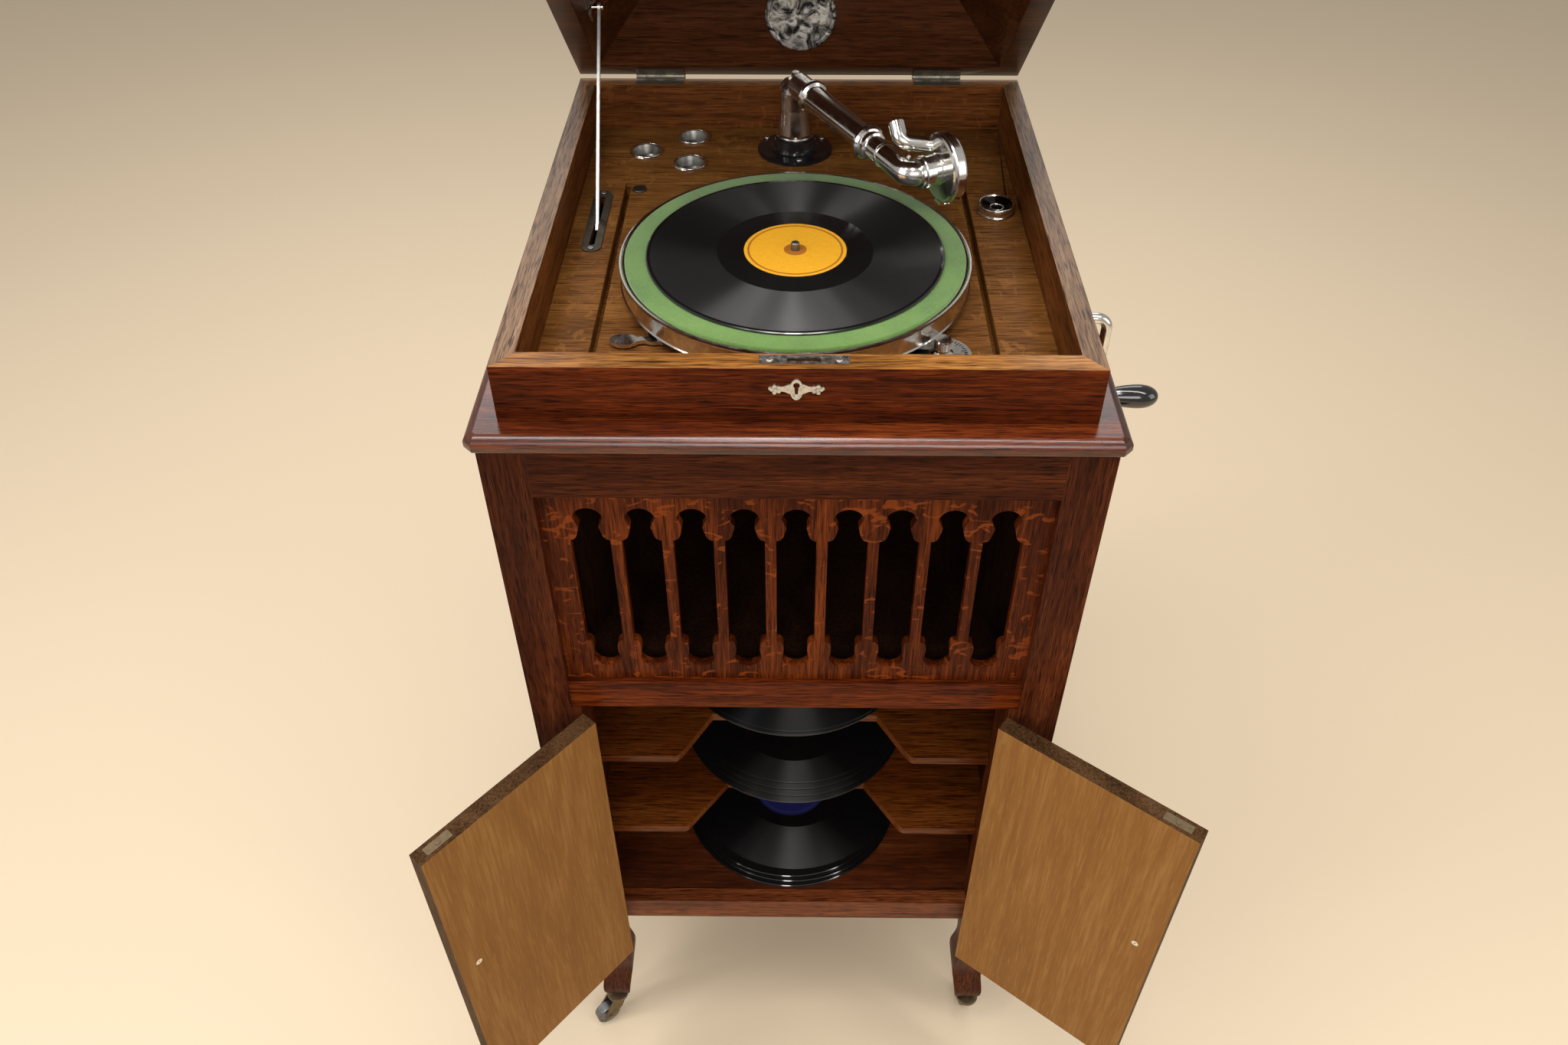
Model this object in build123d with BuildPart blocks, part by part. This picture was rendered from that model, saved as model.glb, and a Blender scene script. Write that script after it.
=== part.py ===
from build123d import *
import math
import os

os.makedirs("parts", exist_ok=True)

# A floor-standing wind-up phonograph. Millimetres, +Z up.
# Origin: on the floor, on the cabinet's centre line, under the front face.
# x runs to the right, y runs from the front face to the back.

# ---- driving dimensions ----
HALF_WIDTH = 244.0
DEPTH = 534.0
RIM_Z = 1012.0
TRAY_BOTTOM_Z = RIM_Z - 49.4
DECK_Z = RIM_Z - 45.4
DECK_BOTTOM_Z = DECK_Z - 12.0
PLINTH_BOTTOM_Z = RIM_Z - 63.0
FOOT_Z = 50.0
POST = 46.5
POST_INNER_X = HALF_WIDTH - POST
RABBET = 9.0
TOP_RAIL_BOTTOM_Z = RIM_Z - 112.0
LEDGE_Z = RIM_Z - 338.0
LOWER_RAIL_BOTTOM_Z = RIM_Z - 371.0
DOOR_TOP_Z = RIM_Z - 372.0
DOOR_BOTTOM_Z = RIM_Z - 790.0
FLOOR_Z = RIM_Z - 747.0
BOTTOM_RAIL_TOP_Z = RIM_Z - 744.0
BOTTOM_RAIL_BOTTOM_Z = RIM_Z - 778.0
SHELF_TOPS = (RIM_Z - 492.5, RIM_Z - 618.5)
SHELF_THICKNESS = 10.0
SHELF_FRONT_Y = 36.0
LINER_INNER_X = 209.0
BOX_HALF_WIDTH = 227.5
BOX_FRONT_Y = 16.5
BOX_BACK_Y = 533.5
BOX_WALL = 17.5
BOX_FRONT_WALL = 19.6
LID_OPEN_DEG = 43.0
LID_HEIGHT = 100.0
LID_INNER_HEIGHT = 85.0
LID_RIM = 22.5
HINGE_Y = 537.2
HINGE_Z = RIM_Z + 1.0
TABLE_X = -2.5
TABLE_Y = 208.0
PLATTER_R = 150.0
RECORD_R = 127.0
ARM_X = -3.3
ARM_Y = 465.0
ARM_Z = RIM_Z + 24.5
ARM_DEG = -63.0
DOOR_WIDTH = 196.0
DOOR_THICKNESS = 16.6
DOOR_PIN_Y = -3.6
LEFT_DOOR_DEG = -130.0
RIGHT_DOOR_DEG = 142.5
BARREL_R = 3.2
PIN_R = 1.5
RUNNING = 0.05
CRANK_Y = 212.0
CRANK_Z = RIM_Z - 82.0
CRANK_ARM_X = 277.0
CRANK_THROW = 86.0
WHEEL_R = 15.0
WHEEL_TRAIL = 18.0
GRILLE_SLOT_PITCH = 42.1


def turned(x, y, degrees):
    a = math.radians(degrees)
    return (x * math.cos(a) - y * math.sin(a), x * math.sin(a) + y * math.cos(a))


def slab(plane, x0, x1, y0, y1, z0, z1, mode=Mode.ADD):
    """A box between two corners, measured in the frame of a plane."""
    with BuildSketch(plane.offset(z0)) as flat:
        with Locations(((x0 + x1) / 2, (y0 + y1) / 2)):
            Rectangle(x1 - x0, y1 - y0)
    extrude(flat.sketch, amount=z1 - z0, mode=mode)


def disc(plane, x, y, radius, z0, z1, mode=Mode.ADD):
    """A cylinder along a plane's normal."""
    with BuildSketch(plane.offset(z0)) as flat:
        with Locations((x, y)):
            Circle(radius)
    extrude(flat.sketch, amount=z1 - z0, mode=mode)


def turning(plane, points, mode=Mode.ADD):
    """A turned shape: (radius, height) points revolved about a plane's normal through its origin."""
    side = Plane(origin=plane.origin, x_dir=plane.x_dir, z_dir=-plane.y_dir)
    with BuildSketch(side) as flat:
        with BuildLine():
            Polyline(*points, close=True)
        make_face()
    revolve(flat.sketch, axis=Axis(plane.origin, plane.z_dir), mode=mode)


def outline(plane, points, z0, z1, mode=Mode.ADD):
    """A flat plate with a straight-sided outline."""
    with BuildSketch(plane.offset(z0)) as flat:
        with BuildLine():
            Polyline(*points, close=True)
        make_face()
    extrude(flat.sketch, amount=z1 - z0, mode=mode)


def save(builder, name):
    builder.part.label = name
    export_step(builder.part, f"parts/{name}.step")


def facing_back(y):
    """A vertical plane at depth y: x across, z up, normal to the front."""
    return Plane(origin=(0, y, 0), x_dir=(1, 0, 0), z_dir=(0, -1, 0))


def facing_side(x):
    """A vertical plane at x: y across, z up, normal to the right."""
    return Plane(origin=(x, 0, 0), x_dir=(0, 1, 0), z_dir=(1, 0, 0))


# ---- posts and legs: two crossed profiles with a waisted foot ----
# (distance in from the outer face, height): outer edge, then the inner edge
OUTER_EDGE = ((0, 212), (3, 177), (10.4, 145), (13.5, 117), (10, 85), (9.5, 72), (14, 57), (21, FOOT_Z))
INNER_EDGE = ((39, FOOT_Z), (45, 97), (49.5, 135), (46, 160), (45, 178), (POST, 205))


def leg_profile(plane, sign, start):
    with BuildSketch(plane) as flat:
        with BuildLine():
            outer = [(start + sign * d, z) for d, z in OUTER_EDGE]
            inner = [(start + sign * d, z) for d, z in INNER_EDGE]
            Line((start, PLINTH_BOTTOM_Z), outer[0])
            Spline(*outer, tangents=[(0, -1), (sign * 0.7, -0.7)])
            Line(outer[-1], inner[0])
            Spline(*inner, tangents=[(sign * 0.1, 1), (0, 1)])
            Line(inner[-1], (start + sign * POST, PLINTH_BOTTOM_Z))
            Line((start + sign * POST, PLINTH_BOTTOM_Z), (start, PLINTH_BOTTOM_Z))
        make_face()
    return flat.sketch


HINGE_SPANS = ((RIM_Z - 447.0, RIM_Z - 406.0), (RIM_Z - 755.0, RIM_Z - 716.0))

with BuildPart() as posts:
    extrude(leg_profile(facing_back(-5.0), 1.0, -HALF_WIDTH), amount=-(DEPTH + 10.0))
    side_profile = leg_profile(facing_side(-HALF_WIDTH - 5.0), 1.0, 0.0)
    extrude(side_profile, amount=POST + 20.0, mode=Mode.INTERSECT)
    disc(Plane.XY, -221.0, 21.0, 4.0 + RUNNING, FOOT_Z - 5.0, 92.0, mode=Mode.SUBTRACT)
    mirror(about=Plane.XZ.offset(-DEPTH / 2))
    slab(Plane.XY, -206.5, -190.0, -5.0, 60.0, LOWER_RAIL_BOTTOM_Z, RIM_Z, mode=Mode.SUBTRACT)
    for z0, z1 in HINGE_SPANS:
        slab(Plane.XY, -198.8, -190.0, -1.0, 20.0, z0, z1, mode=Mode.SUBTRACT)
    mirror(about=Plane.YZ)
save(posts, "posts")

# ---- carcase boards ----
with BuildPart() as front_rails:
    slab(Plane.XY, -206.5, 206.5, 2.0, 24.0, LOWER_RAIL_BOTTOM_Z, LEDGE_Z)
    fillet(front_rails.edges().filter_by(Axis.X).sort_by(Axis.Z)[-2:].sort_by(Axis.Y)[0], 2.0)
    slab(Plane.XY, -POST_INNER_X, POST_INNER_X, 20.0, 36.0, BOTTOM_RAIL_BOTTOM_Z, BOTTOM_RAIL_TOP_Z)
    slab(Plane.XY, -206.5, 206.5, 0.0, 20.0, TOP_RAIL_BOTTOM_Z, PLINTH_BOTTOM_Z)
save(front_rails, "front_rails")

with BuildPart() as side_panels:
    slab(Plane.XY, 226.0, 236.0, POST, DEPTH - POST, BOTTOM_RAIL_BOTTOM_Z + 36.0, TOP_RAIL_BOTTOM_Z)
    mirror(about=Plane.YZ)
save(side_panels, "side_panels")

with BuildPart() as side_rails:
    slab(Plane.XY, 222.0, 241.0, POST, DEPTH - POST, TOP_RAIL_BOTTOM_Z, PLINTH_BOTTOM_Z)
    slab(Plane.XY, 222.0, 241.0, POST, DEPTH - POST, BOTTOM_RAIL_BOTTOM_Z, BOTTOM_RAIL_BOTTOM_Z + 36.0)
    mirror(about=Plane.YZ)
    disc(facing_side(215.0), CRANK_Y, CRANK_Z, 9.0, 0.0, 30.0, mode=Mode.SUBTRACT)
save(side_rails, "side_rails")

with BuildPart() as compartment_liner:
    slab(Plane.XY, LINER_INNER_X, 219.0, POST, 486.0, FLOOR_Z, LOWER_RAIL_BOTTOM_Z + 12.0)
    mirror(about=Plane.YZ)
    slab(Plane.XY, -219.0, 219.0, POST, 514.0, LOWER_RAIL_BOTTOM_Z + 12.0, LOWER_RAIL_BOTTOM_Z + 22.0)
    slab(Plane.XY, -206.0, 206.0, 24.0, POST, LOWER_RAIL_BOTTOM_Z + 12.0, LOWER_RAIL_BOTTOM_Z + 22.0)
    slab(Plane.XY, -230.0, -POST_INNER_X, 486.0, 520.0, 600.0, 700.0, mode=Mode.SUBTRACT)
    slab(Plane.XY, POST_INNER_X, 230.0, 486.0, 520.0, 600.0, 700.0, mode=Mode.SUBTRACT)
save(compartment_liner, "compartment_liner")

with BuildPart() as floor_board:
    slab(Plane.XY, -219.0, 219.0, POST, 486.0, FLOOR_Z - 12.0, FLOOR_Z)
    slab(Plane.XY, -POST_INNER_X, POST_INNER_X, 36.0, 514.0, FLOOR_Z - 12.0, FLOOR_Z)
save(floor_board, "floor_board")

with BuildPart() as back_panel:
    slab(Plane.XY, -POST_INNER_X, POST_INNER_X, 514.0, 528.0, BOTTOM_RAIL_BOTTOM_Z, PLINTH_BOTTOM_Z)
save(back_panel, "back_panel")

with BuildPart() as plinth:
    slab(Plane.XY, -251.5, 251.5, -7.5, 541.0, PLINTH_BOTTOM_Z, TRAY_BOTTOM_Z)
    chamfer(plinth.edges().filter_by(Axis.Z), 7.0)
    fillet(plinth.faces().sort_by(Axis.Z)[-1].edges(), 8.0)
    fillet(plinth.faces().sort_by(Axis.Z)[0].edges(), 3.0)
    slab(Plane.XY, -210.0, 210.0, 36.1, 516.0, 900.0, RIM_Z, mode=Mode.SUBTRACT)
save(plinth, "plinth")

# ---- grille with nine baluster-shaped slots and its backing horn ----
SLOT_SIDE = (
    (12.4, RIM_Z - 141.5),
    (8.2, RIM_Z - 151.0),
    (9.5, RIM_Z - 157.0),
    (16.5, RIM_Z - 166.0),
    (16.5, RIM_Z - 288.0),
    (10.5, RIM_Z - 297.0),
    (12.2, RIM_Z - 309.0),
)


def slot_outline(x):
    right = [(x + w, z) for w, z in SLOT_SIDE]
    left = [(x - w, z) for w, z in SLOT_SIDE]
    with BuildLine() as edge:
        ThreePointArc(left[0], (x, RIM_Z - 131.0), right[0])
        Line(right[0], right[1])
        Spline(right[1], right[2], right[3], tangents=[(0.1, -1), (1, -0.1)])
        Line(right[3], right[4])
        Spline(right[4], right[5], right[6], tangents=[(-1, -0.1), (0.3, -1)])
        ThreePointArc(right[6], (x, RIM_Z - 321.0), left[6])
        Spline(left[6], left[5], left[4], tangents=[(0.3, 1), (-1, 0.1)])
        Line(left[4], left[3])
        Spline(left[3], left[2], left[1], tangents=[(1, 0.1), (0.1, 1)])
        Line(left[1], left[0])
    make_face(edge.edges())


with BuildPart() as grille:
    slab(Plane.XY, -206.5, 206.5, 9.0, 18.0, LEDGE_Z, TOP_RAIL_BOTTOM_Z)
    with BuildSketch(facing_back(0.0)):
        for n in range(-4, 5):
            slot_outline(n * GRILLE_SLOT_PITCH)
    extrude(amount=-30.0, mode=Mode.SUBTRACT)
save(grille, "grille")

HORN_MOUTH_Y = 20.0
HORN_THROAT_Y = 446.0


HORN_MOUTH = (-196.0, 196.0, 684.0, 890.0)
HORN_THROAT = (ARM_X - 26.0, ARM_X + 26.0, 734.0, 786.0)
HORN_BOARD = 7.0
GLUE_LINE = 0.05


def horn_board(near, far):
    """A tapering board between two upright rectangles, each given as (x0, x1, z0, z1)."""
    ends = []
    for y, (x0, x1, z0, z1) in ((HORN_MOUTH_Y, near), (HORN_THROAT_Y, far)):
        with BuildSketch(facing_back(y)) as end:
            with Locations(((x0 + x1) / 2, (z0 + z1) / 2)):
                Rectangle(x1 - x0, z1 - z0)
        ends.append(end.sketch)
    loft(ends)


def top_strip(x0, x1, z0, z1):
    return (x0 + GLUE_LINE, x1 - GLUE_LINE, z1, z1 + HORN_BOARD)


def bottom_strip(x0, x1, z0, z1):
    return (x0 + GLUE_LINE, x1 - GLUE_LINE, z0 - HORN_BOARD, z0)


def left_strip(x0, x1, z0, z1):
    return (x0 - HORN_BOARD, x0, z0 - HORN_BOARD, z1 + HORN_BOARD)


def right_strip(x0, x1, z0, z1):
    return (x1, x1 + HORN_BOARD, z0 - HORN_BOARD, z1 + HORN_BOARD)


THROAT_END_Y = 493.0
RISER_HALF = 13.0
RISER_BOARD = 5.0
with BuildPart() as horn:
    for strip in (top_strip, bottom_strip, left_strip, right_strip):
        horn_board(strip(*HORN_MOUTH), strip(*HORN_THROAT))
    # straight box behind the horn, with a square riser up to the tonearm
    x0, x1, z0, z1 = HORN_THROAT
    y0 = HORN_THROAT_Y + GLUE_LINE
    y1 = THROAT_END_Y
    riser_out = RISER_HALF + RISER_BOARD
    slab(Plane.XY, x0 + GLUE_LINE, x1 - GLUE_LINE, y0, y1 - GLUE_LINE, z0 - HORN_BOARD, z0)
    slab(Plane.XY, x0 + GLUE_LINE, x1 - GLUE_LINE, y1, y1 + HORN_BOARD, z0 - HORN_BOARD, z1 + HORN_BOARD)
    for side in (-1, 1):
        wall = sorted((ARM_X + side * 26.0, ARM_X + side * 33.0))
        slab(Plane.XY, wall[0], wall[1], y0, y1 + HORN_BOARD, z0 - HORN_BOARD, z1 + HORN_BOARD)
        filler = sorted((ARM_X + side * (riser_out + GLUE_LINE), ARM_X + side * (26.0 - GLUE_LINE)))
        slab(Plane.XY, filler[0], filler[1], y0, y1 - GLUE_LINE, z1, z1 + HORN_BOARD)
        upright = sorted((ARM_X + side * RISER_HALF, ARM_X + side * riser_out))
        slab(Plane.XY, upright[0], upright[1], ARM_Y - riser_out, ARM_Y + riser_out, z1, DECK_BOTTOM_Z)
        cross = sorted((ARM_Y + side * RISER_HALF, ARM_Y + side * riser_out))
        half = RISER_HALF - GLUE_LINE
        slab(Plane.XY, ARM_X - half, ARM_X + half, cross[0], cross[1], z1, DECK_BOTTOM_Z)
    slab(
        Plane.XY, ARM_X - riser_out, ARM_X + riser_out, ARM_Y + riser_out + GLUE_LINE, y1 - GLUE_LINE, z1,
        z1 + HORN_BOARD,
    )
save(horn, "horn")

# ---- record shelves with a scooped front notch, and their cleats ----
NOTCHES = (
    ((-123, 30), (-111.8, 45.2), (-85.6, 89.8), (86, 89.8), (112, 45.2), (124, 30)),
    ((-120, 30), (-73.7, 93.8), (78, 93.8), (120.1, 30)),
)
with BuildPart() as shelves:
    for top, notch in zip(SHELF_TOPS, NOTCHES):
        slab(Plane.XY, -208.8, 208.8, POST + 0.3, 480.0, top - SHELF_THICKNESS, top)
        slab(Plane.XY, -197.2, 197.2, SHELF_FRONT_Y, POST + 1.0, top - SHELF_THICKNESS, top)
        outline(Plane.XY, notch, top - 20.0, top + 10.0, mode=Mode.SUBTRACT)
    scoop_ends = shelves.edges().filter_by(Axis.Z).filter_by_position(Axis.X, -130.0, 130.0)
    fillet(scoop_ends.filter_by_position(Axis.Y, SHELF_FRONT_Y - 0.5, SHELF_FRONT_Y + 0.5), 9.0)
save(shelves, "shelves")

with BuildPart() as shelf_cleats:
    for top in SHELF_TOPS:
        z1 = top - SHELF_THICKNESS
        slab(Plane.XY, POST_INNER_X, LINER_INNER_X, POST + 4.0, 470.0, z1 - 14.0, z1)
    mirror(about=Plane.YZ)
save(shelf_cleats, "shelf_cleats")

RECORD_PITCH = 2.6


def pressing(x, y, z):
    """A 10-inch record: thin disc, slightly thicker label area, spindle hole."""
    at = Plane(origin=(x, y, z), x_dir=(1, 0, 0), z_dir=(0, 0, 1))
    turning(
        at,
        (
            (3.75, 0.0),
            (44.0, 0.0),
            (45.0, 0.3),
            (126.0, 0.3),
            (127.0, 0.8),
            (127.0, 1.8),
            (126.0, 2.3),
            (45.0, 2.3),
            (44.0, 2.6),
            (3.75, 2.6),
        ),
    )


# (bottom, number of records, centre x, centre y of the lowest, how far each lies behind the one below)
STACKS = (
    (FLOOR_Z, 3, -3.5, 167.3, 4.7),
    (SHELF_TOPS[1], 4, 0.0, 193.6, 6.7),
    (SHELF_TOPS[0], 2, -1.7, 188.3, 2.8),
)
with BuildPart() as stored_records:
    for base, count, x, y, lag in STACKS:
        for n in range(count):
            pressing(x + 1.5 * (n % 2), y + lag * n, base + RECORD_PITCH * n)
save(stored_records, "stored_records")

# ---- box tray, deck and motor board ----
BOARD = (-163.0, 157.5, 36.2, 389.5)
STAY_X = -187.3
with BuildPart() as box_walls:
    slab(Plane.XY, -BOX_HALF_WIDTH, BOX_HALF_WIDTH, BOX_FRONT_Y, BOX_BACK_Y, TRAY_BOTTOM_Z, RIM_Z)
    slab(Plane.XY, -210.0, 210.0, 36.1, 516.0, TRAY_BOTTOM_Z - 1.0, RIM_Z + 1.0, mode=Mode.SUBTRACT)
    slab(Plane.XY, -28.5, 38.0, 23.5, 34.0, RIM_Z - 1.5, RIM_Z + 1.0, mode=Mode.SUBTRACT)
    slab(Plane.XY, -8.0, 17.0, 26.0, 31.5, RIM_Z - 26.0, RIM_Z + 1.0, mode=Mode.SUBTRACT)
    for x0, x1 in ((-168.0, -119.0), (119.0, 167.0)):
        slab(Plane.XY, x0, x1, 519.2, 540.0, RIM_Z - 1.5, RIM_Z + 1.0, mode=Mode.SUBTRACT)
save(box_walls, "box_walls")

with BuildPart() as deck:
    slab(Plane.XY, -210.0, 210.0, 36.1, 516.0, DECK_BOTTOM_Z, DECK_Z)
    slab(Plane.XY, -168.5, 163.0, 30.0, 390.5, DECK_BOTTOM_Z, DECK_Z, mode=Mode.SUBTRACT)
    slab(Plane.XY, -178.0, -152.0, 40.0, 400.0, DECK_BOTTOM_Z - 9.0, DECK_BOTTOM_Z)
    slab(Plane.XY, 146.0, 172.0, 40.0, 400.0, DECK_BOTTOM_Z - 9.0, DECK_BOTTOM_Z)
    slab(Plane.XY, STAY_X - 4.0, STAY_X + 4.0, 262.0, 368.0, 940.0, RIM_Z, mode=Mode.SUBTRACT)
    disc(Plane.XY, ARM_X, ARM_Y, 14.0, 940.0, RIM_Z, mode=Mode.SUBTRACT)
    for x, y in ((-154.8, 458.7), (-108.6, 491.2), (-108.7, 432.7), (187.2, 336.4)):
        disc(Plane.XY, x, y, 14.5, 940.0, RIM_Z, mode=Mode.SUBTRACT)
save(deck, "deck")

with BuildPart() as motor_board:
    slab(Plane.XY, BOARD[0], BOARD[1], BOARD[2], BOARD[3], DECK_BOTTOM_Z, DECK_Z)
    disc(Plane.XY, TABLE_X, TABLE_Y, 9.0, 940.0, RIM_Z, mode=Mode.SUBTRACT)
    disc(Plane.XY, 115.7, 101.3, 3.0 + RUNNING, 940.0, RIM_Z, mode=Mode.SUBTRACT)
save(motor_board, "motor_board")

# large board screws, the brake lever's post and the slotted plate of the lid stay
BRAKE = Plane(origin=(-121.0, 131.0, DECK_Z), x_dir=(1, 0, 0), z_dir=(0, 0, 1))
with BuildPart() as deck_fittings:
    for x in (-154.0, 148.0):
        disc(Plane.XY, x, 377.0, 7.0, DECK_Z, DECK_Z + 1.8)
    fillet(deck_fittings.faces().filter_by(Axis.Z).group_by(Axis.Z)[-1].edges(), 1.0)
    for x, turn in ((-154.0, 35.0), (148.0, -20.0)):
        across = Plane(origin=(x, 377.0, DECK_Z), x_dir=(*turned(1, 0, turn), 0), z_dir=(0, 0, 1))
        slab(across, -8.0, 8.0, -0.7, 0.7, 0.9, 3.0, mode=Mode.SUBTRACT)
    disc(BRAKE, 0.0, 0.0, 5.0, 0.0, 1.5)
    disc(BRAKE, 0.0, 0.0, 3.0, 1.5, 5.4)
    disc(BRAKE, 0.0, 0.0, 4.6, 5.4, 7.0)
    with BuildSketch(Plane.XY.offset(DECK_Z)):
        with Locations((STAY_X, 315.0)):
            SlotOverall(114.0, 18.0, rotation=90)
            SlotOverall(92.0, 5.0, rotation=90, mode=Mode.SUBTRACT)
    extrude(amount=1.4)
    for y in (263.0, 367.0):
        disc(Plane.XY, STAY_X, y, 2.6, DECK_Z + 1.4, DECK_Z + 2.2)
save(deck_fittings, "deck_fittings")

with BuildPart() as needle_cups:
    for x, y in ((-154.8, 458.7), (-108.6, 491.2), (-108.7, 432.7)):
        at = Plane(origin=(x, y, DECK_Z), x_dir=(1, 0, 0), z_dir=(0, 0, 1))
        turning(
            at,
            (
                (0.0, -13.0), (8.0, -12.5), (13.0, -8.0), (14.3, -1.0), (14.3, 0.0), (17.0, 0.0),
                (17.0, 0.8), (15.5, 2.2), (13.8, 1.6), (12.6, -2.0), (11.0, -7.4), (7.0, -11.0),
                (0.0, -11.6),
            ),
        )
    at = Plane(origin=(187.2, 336.4, DECK_Z), x_dir=(1, 0, 0), z_dir=(0, 0, 1))
    turning(
        at,
        (
            (0.0, -20.0), (13.0, -20.0), (14.3, -18.5), (14.3, 0.0), (16.0, 0.0), (16.5, 7.0), (17.0, 7.6),
            (17.0, 9.2), (15.5, 9.8), (14.5, 9.0), (4.2, 4.0), (3.6, 2.0), (4.5, 1.0), (12.8, 0.0),
            (12.8, -17.5), (0.0, -18.5),
        ),
    )
save(needle_cups, "needle_cups")

ESCUTCHEON_Z = RIM_Z - 17.5
with BuildPart() as box_lock:
    slab(Plane.XY, -28.5, 38.0, 23.5, 34.0, RIM_Z - 1.5, RIM_Z)
    slab(Plane.XY, -8.0, 17.0, 26.5, 31.0, RIM_Z - 2.0, RIM_Z + 1.0, mode=Mode.SUBTRACT)
    for x in (-21.0, 30.5):
        disc(Plane.XY, x, 28.7, 2.6, RIM_Z, RIM_Z + 0.5)
    # escutcheon: an oval ring round the keyhole, two waisted arms, a five-petal flower and a bud at each end
    with BuildSketch(facing_back(BOX_FRONT_Y)) as flat_plate:
        with Locations((-1.0, ESCUTCHEON_Z)):
            Ellipse(4.9, 9.3)
        for side in (-1, 1):
            arm = ((2.0, 4.4), (5.5, 4.2), (9.0, 2.4), (13.0, 1.9), (13.0, -1.9), (9.0, -2.4), (5.5, -4.2), (2.0, -4.4))
            with BuildLine():
                Polyline([(-1.0 + side * x, ESCUTCHEON_Z + z) for x, z in arm], close=True)
            make_face()
            with Locations((-1.0 + side * 19.4, ESCUTCHEON_Z + 0.4)):
                Circle(1.5)
            with Locations((-1.0 + side * 15.4, ESCUTCHEON_Z)):
                Circle(3.0)
    extrude(flat_plate.sketch, amount=1.1)
    with BuildSketch(facing_back(BOX_FRONT_Y)) as raised:
        with Locations((-1.0, ESCUTCHEON_Z)):
            Ellipse(4.9, 9.3)
            Ellipse(3.7, 7.7, mode=Mode.SUBTRACT)
        for side in (-1, 1):
            for n in range(5):
                px, pz = turned(2.9, 0.0, 72.0 * n + (0.0 if side > 0 else 180.0))
                with Locations((-1.0 + side * 15.4 + px, ESCUTCHEON_Z + pz)):
                    Circle(1.5)
    extrude(raised.sketch, amount=2.0)
    with BuildSketch(facing_back(BOX_FRONT_Y)) as bosses:
        with Locations((-16.4, ESCUTCHEON_Z), (14.4, ESCUTCHEON_Z)):
            Circle(1.1)
    extrude(bosses.sketch, amount=2.5)
    with BuildSketch(facing_back(BOX_FRONT_Y - 3.0)) as keyhole:
        with Locations((-1.0, ESCUTCHEON_Z + 3.2)):
            Circle(2.5)
        with BuildLine():
            Polyline(
                [(-1.0 + x, ESCUTCHEON_Z + z) for x, z in ((-1.7, 3.0), (1.7, 3.0), (1.1, -4.6), (-1.1, -4.6))],
                close=True,
            )
        make_face()
    extrude(keyhole.sketch, amount=-5.0, mode=Mode.SUBTRACT)
save(box_lock, "box_lock")

# ---- lid, built in its own tilted frame ----
tilt = math.radians(LID_OPEN_DEG)
LID = Plane(
    origin=(0, HINGE_Y, HINGE_Z), x_dir=(1, 0, 0), z_dir=(0, math.sin(tilt), math.cos(tilt))
)
LID_BACK = BOX_BACK_Y - HINGE_Y
LID_FRONT = BOX_FRONT_Y - HINGE_Y
LID_MID = (LID_BACK + LID_FRONT) / 2
LID_DEPTH = LID_BACK - LID_FRONT
LID_SIDE = 14.0
STAY_FORWARD = 132.0
STAY_UP = 15.0
HINGE_RUNS = ((-168.0, -119.0), (119.0, 167.0))


def lid_point(x, y, z):
    return LID.from_local_coords(Vector(x, y, z))


def lid_vector(x, y, z):
    return lid_point(x, y, z) - lid_point(0, 0, 0)


with BuildPart() as lid:
    with BuildSketch(LID):
        with Locations((0, LID_MID)):
            Rectangle(BOX_HALF_WIDTH * 2, LID_DEPTH)
    extrude(amount=LID_SIDE)
    with BuildSketch(LID.offset(LID_SIDE)):
        with Locations((0, LID_MID)):
            Rectangle(BOX_HALF_WIDTH * 2, LID_DEPTH)
    extrude(amount=LID_HEIGHT - LID_SIDE, taper=45)
    with BuildSketch(LID):
        with Locations((0, LID_MID)):
            Rectangle(BOX_HALF_WIDTH * 2 - LID_RIM * 2, LID_DEPTH - LID_RIM * 2)
    extrude(amount=LID_INNER_HEIGHT, taper=45, mode=Mode.SUBTRACT)
    for x0, x1 in HINGE_RUNS:
        slab(LID, x0, x1, -18.0, 0.0, -1.0, 1.5, mode=Mode.SUBTRACT)
    slab(
        LID, -196.0, -180.0, -STAY_FORWARD - 9.0, -STAY_FORWARD + 9.0, 4.0, 25.0, mode=Mode.SUBTRACT
    )
save(lid, "lid")

slope_start = LID_BACK - LID_RIM
MEDALLION_UP = 52.5
step = MEDALLION_UP / math.sqrt(2.0)
MEDALLION = Plane(
    origin=lid_point(1.5, slope_start - step, step), x_dir=(1, 0, 0), z_dir=lid_vector(0, -1, -1)
)
with BuildPart() as medallion:
    turning(
        MEDALLION,
        (
            (0.0, 0.0), (35.0, 0.0), (35.0, 1.6), (33.6, 3.0), (31.6, 3.0), (30.4, 1.9), (0.0, 1.9),
        ),
    )
save(medallion, "medallion")


def hinge_half(plane, length, knuckles, plate_x, plate_y, with_pin):
    """Half of a butt hinge. The plane's normal is the pin; the plate lies in its local y direction."""
    slab(plane, plate_x[0], plate_x[1], plate_y[0], plate_y[1], 0.0, length)
    for z0, z1 in knuckles:
        disc(plane, 0.0, 0.0, BARREL_R, z0, z1)
        slab(plane, plate_x[0], plate_x[1], min(plate_y[0], 0.0), max(plate_y[1], 0.0), z0, z1)
    if with_pin:
        disc(plane, 0.0, 0.0, PIN_R, 0.0, length)
        disc(plane, 0.0, 0.0, BARREL_R - 0.7, -1.0, 0.0)
        disc(plane, 0.0, 0.0, BARREL_R - 0.7, length, length + 1.0)
    else:
        disc(plane, 0.0, 0.0, PIN_R + RUNNING, -2.0, length + 2.0, mode=Mode.SUBTRACT)


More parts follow.
